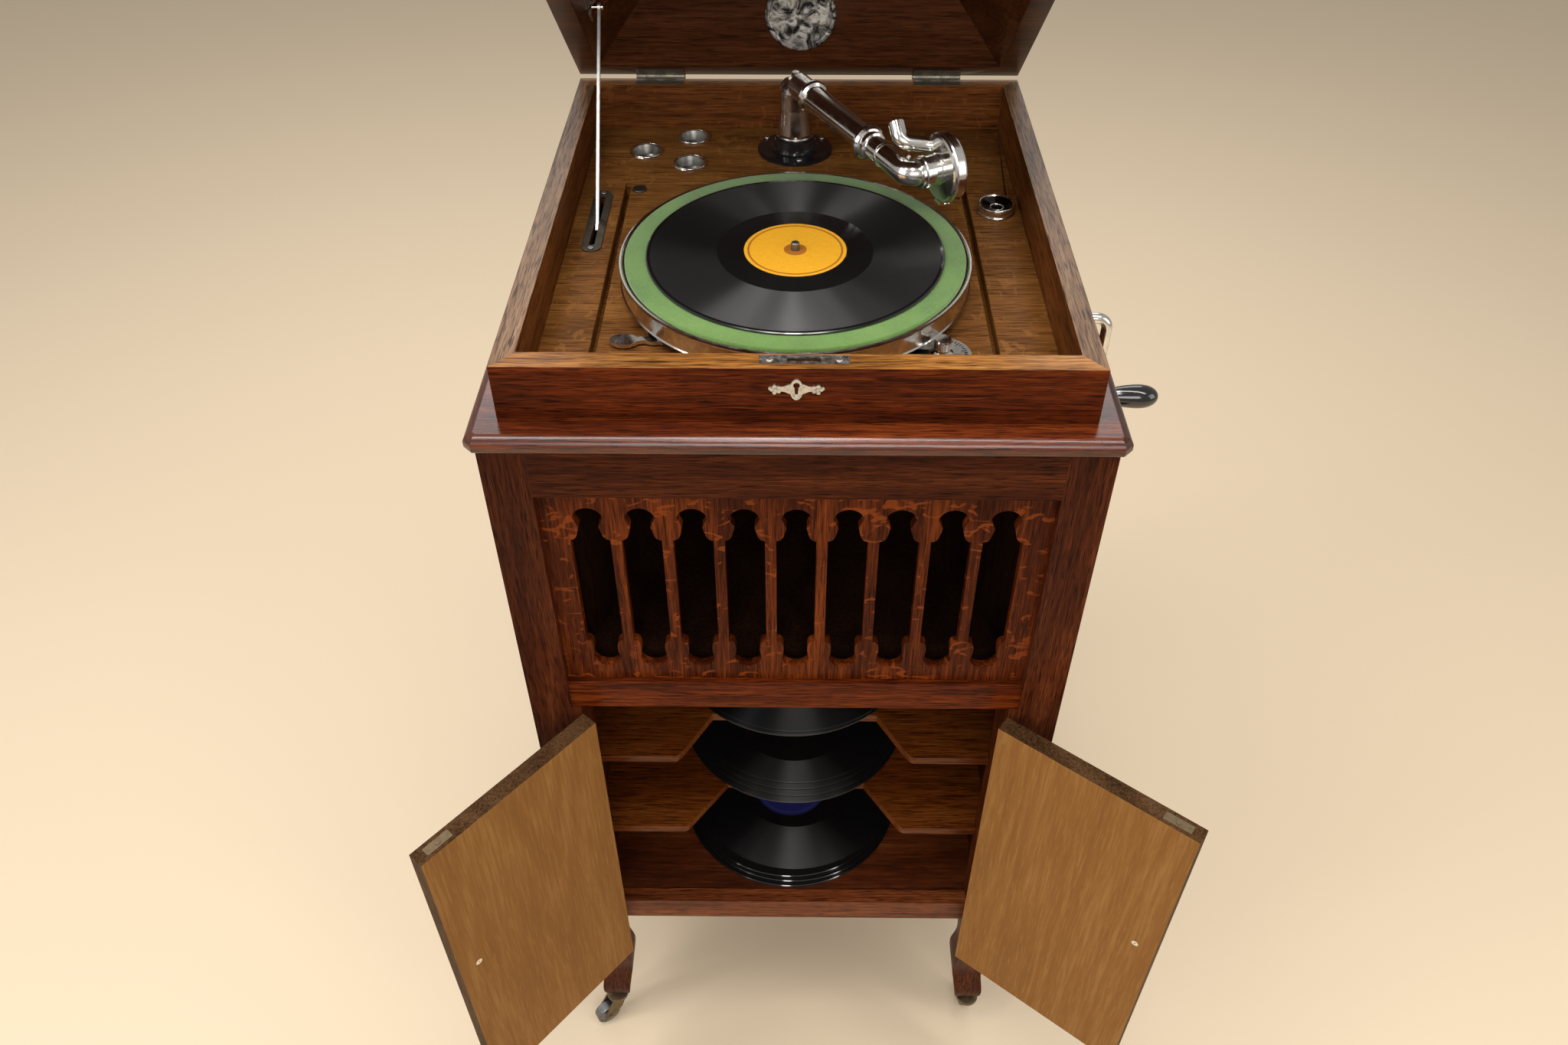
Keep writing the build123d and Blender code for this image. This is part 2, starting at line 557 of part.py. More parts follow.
def knuckle_spans(length, fixed):
    part_length = length / 5
    chosen = (0, 2, 4) if fixed else (1, 3)
    return [(n * part_length + (0.0 if n == 0 else 0.15), (n + 1) * part_length - (0.0 if n == 4 else 0.15))
            for n in chosen]


with BuildPart() as lid_hinges_moving:
    for x0, x1 in HINGE_RUNS:
        up = (0, math.sin(tilt), math.cos(tilt))
        at = Plane(origin=(x0, HINGE_Y, HINGE_Z), x_dir=up, z_dir=(1, 0, 0))
        hinge_half(at, x1 - x0, knuckle_spans(x1 - x0, False), (0.0, 1.5), (3.7, 18.0), False)
save(lid_hinges_moving, "lid_hinges_moving")

# ---- lid stay: a flat rod that slides down through the deck as the lid closes ----
STAY_PIVOT = lid_point(0, -STAY_FORWARD, STAY_UP)
STAY_LENGTH = 210.0
STAY_WIDTH = 5.0
crossing = Vector(0, 315.0, DECK_Z)
stay_vector = crossing - STAY_PIVOT
stay_run = Vector(0, stay_vector.Y, stay_vector.Z).normalized()

with BuildPart() as stay_bracket:
    slab(LID, -196.0, -193.2, -STAY_FORWARD - 8.0, -STAY_FORWARD + 8.0, 5.0, 24.0)
    pin = Plane(origin=(-193.2, STAY_PIVOT.Y, STAY_PIVOT.Z), x_dir=(0, 1, 0), z_dir=(1, 0, 0))
    disc(pin, 0.0, 0.0, 1.8, 0.0, 8.4)
    disc(pin, 0.0, 0.0, 3.4, 8.4, 9.6)
save(stay_bracket, "stay_bracket")

ROD = Plane(
    origin=(STAY_X - 1.3, STAY_PIVOT.Y, STAY_PIVOT.Z), x_dir=(0, stay_run.Y, stay_run.Z), z_dir=(1, 0, 0)
)
with BuildPart() as lid_stay:
    disc(ROD, 0.0, 0.0, 4.0, 0.0, 2.6)
    slab(ROD, 0.0, STAY_LENGTH, -STAY_WIDTH / 2, STAY_WIDTH / 2, 0.0, 2.6)
    slab(ROD, STAY_LENGTH - 6.0, STAY_LENGTH, -STAY_WIDTH / 2 - 2.5, STAY_WIDTH / 2 + 2.5, 0.0, 2.6)
    disc(ROD, 0.0, 0.0, 1.8 + RUNNING, -1.0, 4.0, mode=Mode.SUBTRACT)
    for along in (118.0, 134.0):
        slab(ROD, along - 1.5, along + 1.5, STAY_WIDTH / 2 - 1.2, 4.0, -1.0, 4.0, mode=Mode.SUBTRACT)
save(lid_stay, "lid_stay")

# ---- turntable ----
TABLE = Plane(origin=(TABLE_X, TABLE_Y, RIM_Z), x_dir=(1, 0, 0), z_dir=(0, 0, 1))
with BuildPart() as platter:
    turning(
        TABLE,
        (
            (4.05, -17.0), (147.0, -17.0), (148.2, -16.0), (149.6, -16.4), (150.0, -18.0), (149.2, -20.0),
            (149.0, -34.0), (150.0, -35.0), (149.6, -36.0), (146.6, -36.0), (146.4, -21.0), (145.0, -20.0),
            (14.0, -20.0), (12.0, -22.0), (12.0, -40.0), (4.05, -40.0),
        ),
    )
save(platter, "platter")

with BuildPart() as felt:
    turning(TABLE, ((4.05, -17.0), (145.0, -17.0), (145.0, -15.6), (144.4, -15.0), (4.05, -15.0)))
save(felt, "felt")

with BuildPart() as record:
    pressing(TABLE_X, TABLE_Y, RIM_Z - 15.0)
save(record, "record")


def gear(plane, module, teeth, first_deg, z0, z1):
    """A spur gear with straight-sided teeth and generous backlash."""
    pitch_r = module * teeth / 2
    points = []
    for n in range(teeth):
        centre = math.radians(first_deg) + 2 * math.pi * n / teeth
        pitch = 2 * math.pi / teeth
        for r, part in (
            (pitch_r - 1.25 * module, -0.30),
            (pitch_r + 0.8 * module, -0.10),
            (pitch_r + 0.8 * module, 0.10),
            (pitch_r - 1.25 * module, 0.30),
        ):
            a = centre + part * pitch
            points.append((r * math.cos(a), r * math.sin(a)))
    outline(plane, points, z0, z1)


BARREL_GEAR_MODULE = 1.25
BARREL_TEETH = 48
PINION_TEETH = 12
WHEEL_MODULE = 1.0
WHEEL_TEETH = 40
GOVERNOR_TEETH = 10
BARREL_X = TABLE_X - BARREL_GEAR_MODULE * (BARREL_TEETH + PINION_TEETH) / 2
GOVERNOR_X = TABLE_X + WHEEL_MODULE * (WHEEL_TEETH + GOVERNOR_TEETH) / 2
AT_TABLE = Plane(origin=(TABLE_X, TABLE_Y, 0), x_dir=(1, 0, 0), z_dir=(0, 0, 1))
AT_BARREL = Plane(origin=(BARREL_X, TABLE_Y, 0), x_dir=(1, 0, 0), z_dir=(0, 0, 1))
AT_GOVERNOR = Plane(origin=(GOVERNOR_X, TABLE_Y, 0), x_dir=(1, 0, 0), z_dir=(0, 0, 1))

with BuildPart() as spindle:
    disc(AT_TABLE, 0.0, 0.0, 4.0, 884.0, RIM_Z - 17.0)
    disc(AT_TABLE, 0.0, 0.0, 3.6, RIM_Z - 17.0, RIM_Z - 5.0)
    gear(AT_TABLE, BARREL_GEAR_MODULE, PINION_TEETH, 0.0, 899.0, 911.0)
    gear(AT_TABLE, WHEEL_MODULE, WHEEL_TEETH, 0.0, 938.0, 943.0)
    fillet(spindle.faces().sort_by(Axis.Z)[-1].edges(), 1.8)
save(spindle, "spindle")

with BuildPart() as spring_barrel:
    gear(AT_BARREL, BARREL_GEAR_MODULE, BARREL_TEETH, 180.0 / BARREL_TEETH, 901.0, 909.0)
    disc(AT_BARREL, 0.0, 0.0, 28.0, 909.0, 936.0)
    disc(AT_BARREL, 0.0, 0.0, 4.0, 884.0, 952.0)
save(spring_barrel, "spring_barrel")

with BuildPart() as governor:
    gear(AT_GOVERNOR, WHEEL_MODULE, GOVERNOR_TEETH, 18.0, 936.0, 945.0)
    disc(AT_GOVERNOR, 0.0, 0.0, 2.0, 884.0, 952.0)
    disc(AT_GOVERNOR, 0.0, 0.0, 13.0, 928.0, 930.0)
    disc(AT_GOVERNOR, 0.0, 0.0, 4.5, 924.0, 928.0)
    disc(AT_GOVERNOR, 0.0, 0.0, 4.5, 894.0, 898.0)
    for n in range(3):
        bx, by = turned(9.5, 0.0, 60.0 + 120.0 * n)
        with Locations((GOVERNOR_X + bx, TABLE_Y + by, 911.0)):
            Sphere(4.0)
        arm_at = Plane(
            origin=(GOVERNOR_X, TABLE_Y, 0), x_dir=(*turned(1, 0, 60.0 + 120.0 * n), 0), z_dir=(0, 0, 1)
        )
        outline(
            Plane(origin=arm_at.origin, x_dir=arm_at.x_dir, z_dir=-arm_at.y_dir),
            ((3.5, 895.0), (5.0, 895.0), (10.5, 909.0), (10.5, 913.0), (5.0, 927.0), (3.5, 927.0),
             (8.5, 913.0), (8.5, 909.0)),
            -2.0,
            2.0,
        )
save(governor, "governor")

with BuildPart() as motor_frame:
    slab(Plane.XY, -78.0, 72.0, 168.0, 250.0, 950.6, DECK_BOTTOM_Z)
    slab(Plane.XY, -78.0, 72.0, 168.0, 250.0, 886.0, 890.0)
    for x in (-72.0, 66.0):
        for y in (174.0, 244.0):
            disc(Plane.XY, x, y, 5.0, 890.0, 950.6)
    disc(AT_TABLE, 0.0, 0.0, 4.0 + RUNNING, 880.0, 960.0, mode=Mode.SUBTRACT)
    disc(AT_BARREL, 0.0, 0.0, 4.0 + RUNNING, 880.0, 960.0, mode=Mode.SUBTRACT)
    disc(AT_GOVERNOR, 0.0, 0.0, 2.0 + RUNNING, 880.0, 960.0, mode=Mode.SUBTRACT)
    slab(Plane.XY, 66.0, 72.0, 180.0, 244.0, 890.0, 950.6)
    disc(facing_side(60.0), CRANK_Y, CRANK_Z, 5.0 + RUNNING, 0.0, 20.0, mode=Mode.SUBTRACT)
save(motor_frame, "motor_frame")

# ---- crank with a pear-shaped handle, hanging down ----
with BuildPart() as crank_rod:
    with BuildLine():
        FilletPolyline(
            (60.0, CRANK_Y, CRANK_Z),
            (CRANK_ARM_X, CRANK_Y, CRANK_Z),
            (CRANK_ARM_X, CRANK_Y, CRANK_Z - CRANK_THROW),
            radius=11.0,
        )
    with BuildSketch(facing_side(60.0)):
        with Locations((CRANK_Y, CRANK_Z)):
            Circle(5.0)
    sweep()
    disc(facing_side(CRANK_ARM_X - 6.5), CRANK_Y, CRANK_Z - CRANK_THROW, 6.5, 0.0, 13.0)
    disc(facing_side(CRANK_ARM_X - 6.5), CRANK_Y, CRANK_Z - CRANK_THROW, 2.5, 0.0, 60.0)
save(crank_rod, "crank_rod")

with BuildPart() as crank_handle:
    at = Plane(
        origin=(CRANK_ARM_X + 6.8, CRANK_Y, CRANK_Z - CRANK_THROW), x_dir=(0, 1, 0), z_dir=(1, 0, 0)
    )
    side = Plane(origin=at.origin, x_dir=at.x_dir, z_dir=-at.y_dir)
    with BuildSketch(side):
        with BuildLine():
            Line((2.55, 0.0), (6.0, 0.0))
            Spline((6.0, 0.0), (7.4, 7.0), (9.6, 18.0), (11.2, 32.0), (10.6, 43.0), (7.0, 51.0), (0.0, 54.5),
                   tangents=[(0.3, 1), (-1, 0)])
            Line((0.0, 54.5), (0.0, 53.8))
            Line((0.0, 53.8), (2.55, 53.8))
            Line((2.55, 53.8), (2.55, 0.0))
        make_face()
    revolve(axis=Axis(at.origin, at.z_dir))
save(crank_handle, "crank_handle")

with BuildPart() as crank_bushing:
    disc(facing_side(241.0), CRANK_Y, CRANK_Z, 13.0, 0.0, 1.6)
    disc(facing_side(222.0), CRANK_Y, CRANK_Z, 9.0, 0.0, 22.0)
    disc(facing_side(215.0), CRANK_Y, CRANK_Z, 5.0 + RUNNING, 0.0, 40.0, mode=Mode.SUBTRACT)
save(crank_bushing, "crank_bushing")

# ---- tonearm ----
PIVOT = Plane(origin=(ARM_X, ARM_Y, RIM_Z), x_dir=(1, 0, 0), z_dir=(0, 0, 1))
arm_x, arm_y = turned(1.0, 0.0, ARM_DEG)
ALONG = Plane(origin=(ARM_X, ARM_Y, ARM_Z), x_dir=(-arm_y, arm_x, 0), z_dir=(arm_x, arm_y, 0))

with BuildPart() as arm_flange:
    turning(
        PIVOT,
        (
            (12.0, -45.4), (38.0, -45.4), (38.0, -43.4), (36.0, -42.6), (26.0, -42.2), (23.0, -41.4),
            (21.4, -39.5), (20.4, -30.5), (19.0, -29.0), (13.5, -29.0), (13.5, -21.0), (12.0, -21.0),
        ),
    )
    for x, y in ((-28.7, 20.0), (27.0, 19.0), (4.0, -31.0)):
        disc(PIVOT, x, y, 3.0, -43.6, -41.4)
save(arm_flange, "arm_flange")

with BuildPart() as arm_column:
    turning(
        PIVOT,
        (
            (13.55, -28.7), (19.2, -28.7), (19.6, -27.4), (19.2, -26.0), (17.4, -24.6), (16.4, -14.0),
            (15.2, 0.0), (15.6, 14.0), (16.0, 18.0), (15.2, 22.5), (12.0, 26.6), (7.0, 29.0), (0.0, 29.6),
            (0.0, 26.0), (10.0, 24.0), (12.0, 18.0), (12.0, -19.5), (13.55, -20.7),
        ),
    )
    turning(
        ALONG,
        (
            (9.0, 8.0), (12.4, 8.0), (12.4, 33.0), (15.4, 34.4), (15.6, 37.0), (14.6, 39.6), (12.2, 41.0),
            (9.0, 41.0),
        ),
    )
    disc(ALONG, 0.0, 0.0, 9.0, 6.0, 42.0, mode=Mode.SUBTRACT)
    disc(PIVOT, 0.0, 0.0, 3.0, 29.0, 31.0)
    disc(PIVOT, 0.0, 0.0, 4.4, 31.0, 35.5)
    chamfer(arm_column.faces().sort_by(Axis.Z)[-1].edges(), 0.8)
save(arm_column, "arm_column")

with BuildPart() as arm_tube:
    turning(
        ALONG,
        (
            (9.0, 41.0), (12.0, 41.0), (10.8, 140.0), (13.6, 142.0), (15.5, 144.5), (15.5, 147.5),
            (13.8, 150.0), (11.5, 151.0), (9.0, 151.0),
        ),
    )
save(arm_tube, "arm_tube")

NECK_START = 151.3
NECK_BEND = 10.9
HUB_X = 105.6
HUB_Y = 275.6
SOUND_DEG = 25.0
facing_x, facing_y = turned(1.0, 0.0, SOUND_DEG)
SOUND = Plane(origin=(HUB_X, HUB_Y, ARM_Z), x_dir=(-facing_y, facing_x, 0), z_dir=(facing_x, facing_y, 0))
# where the arm's line meets the sound box's axis
ELBOW_R = ((ARM_X - HUB_X) * facing_y - (ARM_Y - HUB_Y) * facing_x) / (arm_y * facing_x - arm_x * facing_y)


def arm_point(r):
    return (ARM_X + r * arm_x, ARM_Y + r * arm_y, ARM_Z)


def sound_point(out, side, up):
    """A point out from the gooseneck's end along the sound box's axis, to its side and up."""
    return SOUND.from_local_coords(Vector(side, up, out))


def sound_way(out, side, up):
    return sound_point(out, side, up) - sound_point(0, 0, 0)


def neck_bend(radius, start, past, mode=Mode.ADD):
    with BuildLine() as route:
        FilletPolyline(arm_point(start), arm_point(ELBOW_R), sound_point(past, 0, 0), radius=NECK_BEND)
    with BuildSketch(ALONG.offset(start)) as bore:
        Circle(radius)
    sweep(bore.sketch, path=route.wire(), mode=mode)


with BuildPart() as gooseneck:
    neck_bend(10.5, NECK_START, 0.0)
    turning(ALONG, ((7.0, NECK_START), (12.4, NECK_START), (12.4, 156.5), (10.4, 157.5), (7.0, 157.5)))
    turning(ALONG, ((8.0, 173.5), (10.9, 173.5), (11.4, 175.0), (10.9, 176.5), (8.0, 176.5)))
    disc(SOUND, 0.0, 0.0, 13.0, -2.6, 0.0)
    neck_bend(7.0, NECK_START - 1.0, 1.0, mode=Mode.SUBTRACT)
    turning(ALONG, ((7.0, 139.0), (8.95, 139.0), (8.95, NECK_START), (7.0, NECK_START)))
    turning(SOUND, ((5.6, -2.6), (7.2, -2.6), (7.2, 6.0), (5.6, 6.0)))
    stop = Plane(origin=arm_point(196.0), x_dir=(0, 0, 1), z_dir=(-arm_y, arm_x, 0.35))
    disc(stop, 0.0, 0.0, 2.6, 8.0, 12.0)
    disc(stop, 0.0, 0.0, 3.6, 12.0, 14.0)
save(gooseneck, "gooseneck")

with BuildPart() as sound_box:
    turning(
        SOUND,
        (
            (7.25, 0.3), (13.5, 0.3), (14.4, 1.2), (14.4, 3.6), (13.2, 4.4), (13.2, 15.0), (13.9, 15.8),
            (13.9, 17.2), (27.0, 17.6), (29.0, 18.6), (29.4, 20.4), (30.5, 21.4), (30.5, 28.0),
            (29.4, 30.0), (26.8, 30.4), (25.6, 29.0), (24.6, 26.6), (3.4, 26.6), (2.6, 27.8), (0.0, 28.0),
            (0.0, 23.4), (24.0, 22.8), (24.0, 20.0), (7.25, 19.4),
        ),
    )
save(sound_box, "sound_box")

with BuildPart() as needle_chuck:
    slab(SOUND, -5.0, 5.0, -33.6, -30.6, 20.4, 27.6)
    slab(SOUND, -3.5, 3.5, -36.0, -31.0, 28.2, 30.4)
    with BuildLine():
        FilletPolyline(
            sound_point(31.2, 0.0, 2.0),
            sound_point(34.8, -1.0, -14.0),
            sound_point(29.8, -3.0, -33.0),
            radius=12.0,
        )
    with BuildSketch(Plane(origin=sound_point(31.2, 0.0, 2.0), z_dir=sound_way(3.6, -1.0, -16.0))):
        Circle(1.5)
    sweep()
    with Locations(sound_point(31.0, 0.0, 1.5)):
        Sphere(2.6)
    chuck = Plane(
        origin=sound_point(27.8, -4.0, -33.5), x_dir=sound_way(1, 0, 0), z_dir=sound_way(-0.12, -0.55, -0.83)
    )
    disc(chuck, 0.0, 0.0, 3.4, -2.0, 0.5)
save(needle_chuck, "needle_chuck")

with BuildPart() as needle_screw:
    screw = Plane(origin=sound_point(32.0, 0.0, -33.6), x_dir=sound_way(0, 1, 0), z_dir=sound_way(1, 0, 0))
    disc(screw, 0.0, 0.0, 1.6, -0.4, 5.0)
    turning(
        screw,
        ((0.0, 5.0), (2.4, 5.0), (2.8, 6.0), (2.8, 9.0), (2.4, 10.0), (0.0, 10.0)),
    )
save(needle_screw, "needle_screw")

THROAT_ROUTE = (sound_point(19.0, 17.0, 14.0), (88.6, 293.5, 1056.5), (84.5, 305.3, 1068.5))


def throat_pipe(radius, mode=Mode.ADD):
    with BuildLine() as route:
        FilletPolyline(*THROAT_ROUTE, radius=9.0)
    with BuildSketch(Plane(origin=THROAT_ROUTE[0], z_dir=Vector(THROAT_ROUTE[1]) - THROAT_ROUTE[0])) as bore:
        Circle(radius)
    sweep(bore.sketch, path=route.wire(), mode=mode)


with BuildPart() as second_throat:
    throat_pipe(7.0)
    throat_pipe(5.2, mode=Mode.SUBTRACT)
save(second_throat, "second_throat")

REST = Plane(origin=(159.5, 438.5, DECK_Z), x_dir=(1, 0, 0), z_dir=(0, 0, 1))
with BuildPart() as rest_hook:
    disc(REST, 0.0, 0.0, 9.0, 0.0, 2.4)
    disc(REST, 0.0, 0.0, 3.0, 2.0, 16.0)
    with Locations((159.5, 438.5, DECK_Z + 16.0)):
        Sphere(3.0)
    reach = Plane(origin=(159.5, 438.5, DECK_Z + 16.0), x_dir=(0, 1, 0), z_dir=(-0.79, -0.23, 0.57))
    disc(reach, 0.0, 0.0, 3.0, 0.0, 16.0)
    disc(reach, 0.0, 0.0, 4.2, 15.0, 18.5)
save(rest_hook, "rest_hook")

# ---- brake lever and speed control ----
with BuildPart() as brake_lever:
    with BuildSketch(BRAKE.offset(1.8)):
        with Locations((-20.0, -18.0)):
            Ellipse(11.5, 8.0)
        with BuildLine():
            Polyline(
                (-12.0, -22.0), (-4.0, -19.0), (3.0, -21.5), (11.0, -21.0), (12.5, -16.5), (5.0, -4.0),
                (5.0, 3.0), (-3.0, 5.5), (-6.0, 0.0), (-1.0, -9.0), (0.0, -14.0), (-5.0, -13.5),
                (-12.0, -15.0), close=True,
            )
        make_face()
        Circle(3.0 + RUNNING, mode=Mode.SUBTRACT)
    extrude(amount=3.2)
    pad = Plane(origin=(TABLE_X, TABLE_Y, DECK_Z), x_dir=(*turned(1, 0, 221.5), 0), z_dir=(0, 0, 1))
    slab(pad, 142.2, 146.0, -3.0, 4.0, 1.8, 16.0)
save(brake_lever, "brake_lever")

KNOB = Plane(origin=(115.7, 101.3, DECK_Z), x_dir=(1, 0, 0), z_dir=(0, 0, 1))
with BuildPart() as speed_dial:
    with BuildSketch(KNOB):
        Circle(24.0)
        Circle(3.4, mode=Mode.SUBTRACT)
        with BuildLine():
            Polyline((0.0, 0.0), (-40.0, 60.0), (-60.0, -30.0), (0.0, -60.0), close=True)
        make_face(mode=Mode.SUBTRACT)
        Circle(8.0)
        Circle(3.4, mode=Mode.SUBTRACT)
    extrude(amount=0.8)
    slab(Plane.XY, 94.0, 105.0, 92.0, 104.0, DECK_Z, DECK_Z + 3.0)
    slab(Plane.XY, 88.7, 110.0, 107.0, 112.0, DECK_Z, DECK_Z + 1.0)
    slab(Plane.XY, 88.7, 110.0, 110.5, 112.0, DECK_Z, DECK_Z + 8.4)
    slab(Plane.XY, 92.0, 102.0, 105.0, 115.0, DECK_Z + 4.0, DECK_Z + 5.6, mode=Mode.SUBTRACT)
save(speed_dial, "speed_dial")

with BuildPart() as speed_knob:
    turning(
        KNOB,
        (
            (0.0, -14.0), (3.0, -14.0), (3.0, 1.1), (9.0, 1.1), (9.2, 2.4), (6.2, 4.2), (5.8, 6.0), (7.0, 7.0),
            (7.2, 13.6), (6.4, 15.2), (0.0, 15.6),
        ),
    )
    for n in range(18):
        rx, ry = turned(7.6, 0.0, 20.0 * n)
        disc(KNOB, rx, ry, 0.7, 7.5, 14.0, mode=Mode.SUBTRACT)
save(speed_knob, "speed_knob")

# ---- doors, built in frames turned to where they hang open ----
def door_frame(side):
    degrees = LEFT_DOOR_DEG if side < 0 else RIGHT_DOOR_DEG
    dx, dy = turned(-side, 0.0, degrees)
    return Plane(origin=(side * POST_INNER_X, DOOR_PIN_Y, 0), x_dir=(dx, dy, 0), z_dir=(0, 0, 1))


OUTER_FACE = -DOOR_PIN_Y
KNOB_Z = RIM_Z - 560.0
INNER_FACE = OUTER_FACE + DOOR_THICKNESS


def span(side, y0, y1):
    """Thickness runs along +y of the left frame and -y of the right one."""
    return (y0, y1) if side < 0 else (-y1, -y0)


for side, name in ((-1, "left"), (1, "right")):
    at = door_frame(side)
    with BuildPart() as door:
        slab(at, 0.5, DOOR_WIDTH, *span(side, OUTER_FACE, INNER_FACE), DOOR_BOTTOM_Z, DOOR_TOP_Z)
        for z0, z1 in HINGE_SPANS:
            slab(at, 0.0, 1.8, *span(side, 0.0, 20.0), z0, z1, mode=Mode.SUBTRACT)
        slab(at, DOOR_WIDTH - 36.0, DOOR_WIDTH - 10.0, *span(side, OUTER_FACE + 4.0, INNER_FACE - 4.0),
             DOOR_TOP_Z - 1.0, DOOR_TOP_Z + 1.0, mode=Mode.SUBTRACT)
    save(door, f"door_{name}")

    with BuildPart() as fittings:
        for z0, z1 in HINGE_SPANS:
            pin_frame = Plane(origin=at.from_local_coords(Vector(0, 0, z0)), x_dir=at.x_dir, z_dir=(0, 0, 1))
            plate = span(side, 3.6, 19.0)
            hinge_half(pin_frame, z1 - z0, knuckle_spans(z1 - z0, False), (0.5, 1.7), plate, False)
        slab(at, DOOR_WIDTH - 36.0, DOOR_WIDTH - 10.0, *span(side, OUTER_FACE + 4.0, INNER_FACE - 4.0),
             DOOR_TOP_Z - 1.0, DOOR_TOP_Z)
        disc(at, DOOR_WIDTH - 23.0, sum(span(side, OUTER_FACE, INNER_FACE)) / 2, 2.6,
             DOOR_TOP_Z, DOOR_TOP_Z + 0.6)
        across = Plane(
            origin=at.from_local_coords(Vector(DOOR_WIDTH - 20.0, -side * OUTER_FACE, KNOB_Z)),
            x_dir=at.x_dir,
            z_dir=at.y_dir * side,
        )
        turning(
            across,
            (
                (0.0, 0.0), (7.0, 0.0), (7.4, 1.2), (4.4, 3.0), (3.8, 7.0), (7.6, 11.0), (9.2, 14.5),
                (8.2, 18.0), (4.6, 20.2), (0.0, 20.8),
            ),
        )
    save(fittings, f"door_{name}_fittings")

with BuildPart() as hinges_fixed:
    for side in (-1, 1):
        for z0, z1 in HINGE_SPANS:
            pin_frame = Plane(origin=(side * POST_INNER_X, DOOR_PIN_Y, z0), x_dir=(side, 0, 0), z_dir=(0, 0, 1))
            plate = (3.6, 20.0) if side > 0 else (-20.0, -3.6)
            hinge_half(pin_frame, z1 - z0, knuckle_spans(z1 - z0, True), (0.1, 1.3), plate, True)
    for x0, x1 in HINGE_RUNS:
        at = Plane(origin=(x0, HINGE_Y, HINGE_Z), x_dir=(0, 0, 1), z_dir=(1, 0, 0))
        hinge_half(at, x1 - x0, knuckle_spans(x1 - x0, True), (-2.5, -1.0), (3.7, 18.0), True)
save(hinges_fixed, "hinges_fixed")

# ---- casters ----
CASTERS = (
    ("front_left", -221.0, 21.0, 214.8),
    ("front_right", 221.0, 21.0, 86.0),
    ("rear_left", -221.0, DEPTH - 21.0, 150.0),
    ("rear_right", 221.0, DEPTH - 21.0, 60.0),
)
for name, x, y, trail_deg in CASTERS:
    swivel = Plane(origin=(x, y, 0), x_dir=(*turned(1, 0, trail_deg), 0), z_dir=(0, 0, 1))
    upright = Plane(origin=swivel.origin, x_dir=swivel.x_dir, z_dir=-swivel.y_dir)
    with BuildPart() as fork:
        disc(swivel, 0.0, 0.0, 13.5, 44.0, 49.6)
        disc(swivel, 0.0, 0.0, 4.0, 49.6, 88.0)
        for inner in (-8.5, 6.5):
            outline(
                upright,
                ((-9.0, 45.0), (9.0, 45.0), (WHEEL_TRAIL + 5.0, 22.0), (WHEEL_TRAIL + 5.0, 11.0),
                 (WHEEL_TRAIL - 4.0, 9.5), (0.0, 24.0)),
                inner,
                inner + 2.0,
            )
        disc(upright, WHEEL_TRAIL, WHEEL_R, 2.5, -9.5, 9.5)
    save(fork, f"caster_{name}")

    axle = Plane(origin=swivel.from_local_coords(Vector(WHEEL_TRAIL, 0, WHEEL_R)),
                 x_dir=swivel.x_dir, z_dir=-swivel.y_dir)
    with BuildPart() as wheel:
        turning(
            axle,
            (
                (2.55, -6.2), (7.0, -6.2), (8.0, -5.0), (12.0, -5.0), (13.0, -6.0), (14.4, -6.0), (15.0, -5.0),
                (15.0, 5.0), (14.4, 6.0), (13.0, 6.0), (12.0, 5.0), (8.0, 5.0), (7.0, 6.2), (2.55, 6.2),
            ),
        )
    save(wheel, f"wheel_{name}")
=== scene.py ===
import bpy
import math
from mathutils import Matrix, Vector


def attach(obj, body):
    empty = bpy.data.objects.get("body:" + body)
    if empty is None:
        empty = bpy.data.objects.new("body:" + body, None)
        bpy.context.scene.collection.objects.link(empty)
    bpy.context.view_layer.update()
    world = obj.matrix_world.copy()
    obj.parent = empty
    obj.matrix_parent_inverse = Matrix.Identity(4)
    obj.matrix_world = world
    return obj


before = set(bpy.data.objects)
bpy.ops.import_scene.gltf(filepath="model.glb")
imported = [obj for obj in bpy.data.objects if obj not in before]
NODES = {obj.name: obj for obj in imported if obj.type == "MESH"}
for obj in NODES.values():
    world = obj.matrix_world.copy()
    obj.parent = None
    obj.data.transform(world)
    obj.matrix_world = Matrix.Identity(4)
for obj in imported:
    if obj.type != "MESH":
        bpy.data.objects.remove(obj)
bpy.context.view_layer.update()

# ---- measures shared with the cabinet (metres) ----
RIM_Z = 1.012
DECK_Z = RIM_Z - 0.0454
TABLE_X = -0.0025
TABLE_Y = 0.208
RECORD_TOP_Z = RIM_Z - 0.0124
NEEDLE_CUPS = ((-0.1548, 0.4587), (-0.1086, 0.4912), (-0.1087, 0.4327))
USED_CUP_X, USED_CUP_Y = 0.1872, 0.3364
ARM_X, ARM_Y = -0.0033, 0.465
KNOB_X, KNOB_Y = 0.1157, 0.1013
DOOR_TURNS = {"left": -130.0, "right": 142.5}
DOOR_HINGES_X = {"left": -0.1975, "right": 0.1975}
LABEL_RADIUS = 0.0437
SPINDLE_HOLE = 0.0037
LABEL_THICKNESS = 0.00012
GROOVES_START = 0.0665
GROOVES_END = 0.1235


# ---- material helpers ----
WHITE = (1.0, 1.0, 1.0)
DARK = (0.0, 0.0, 0.0)
EVEN = (1.0, 1.0, 1.0)


def blank(name, roughness=0.5, metallic=0.0, color=(0.5, 0.5, 0.5)):
    material = bpy.data.materials.new(name)
    material.use_nodes = True
    shader = material.node_tree.nodes["Principled BSDF"]
    shader.inputs["Base Color"].default_value = (*color, 1.0)
    shader.inputs["Roughness"].default_value = roughness
    shader.inputs["Metallic"].default_value = metallic
    return material, material.node_tree, shader


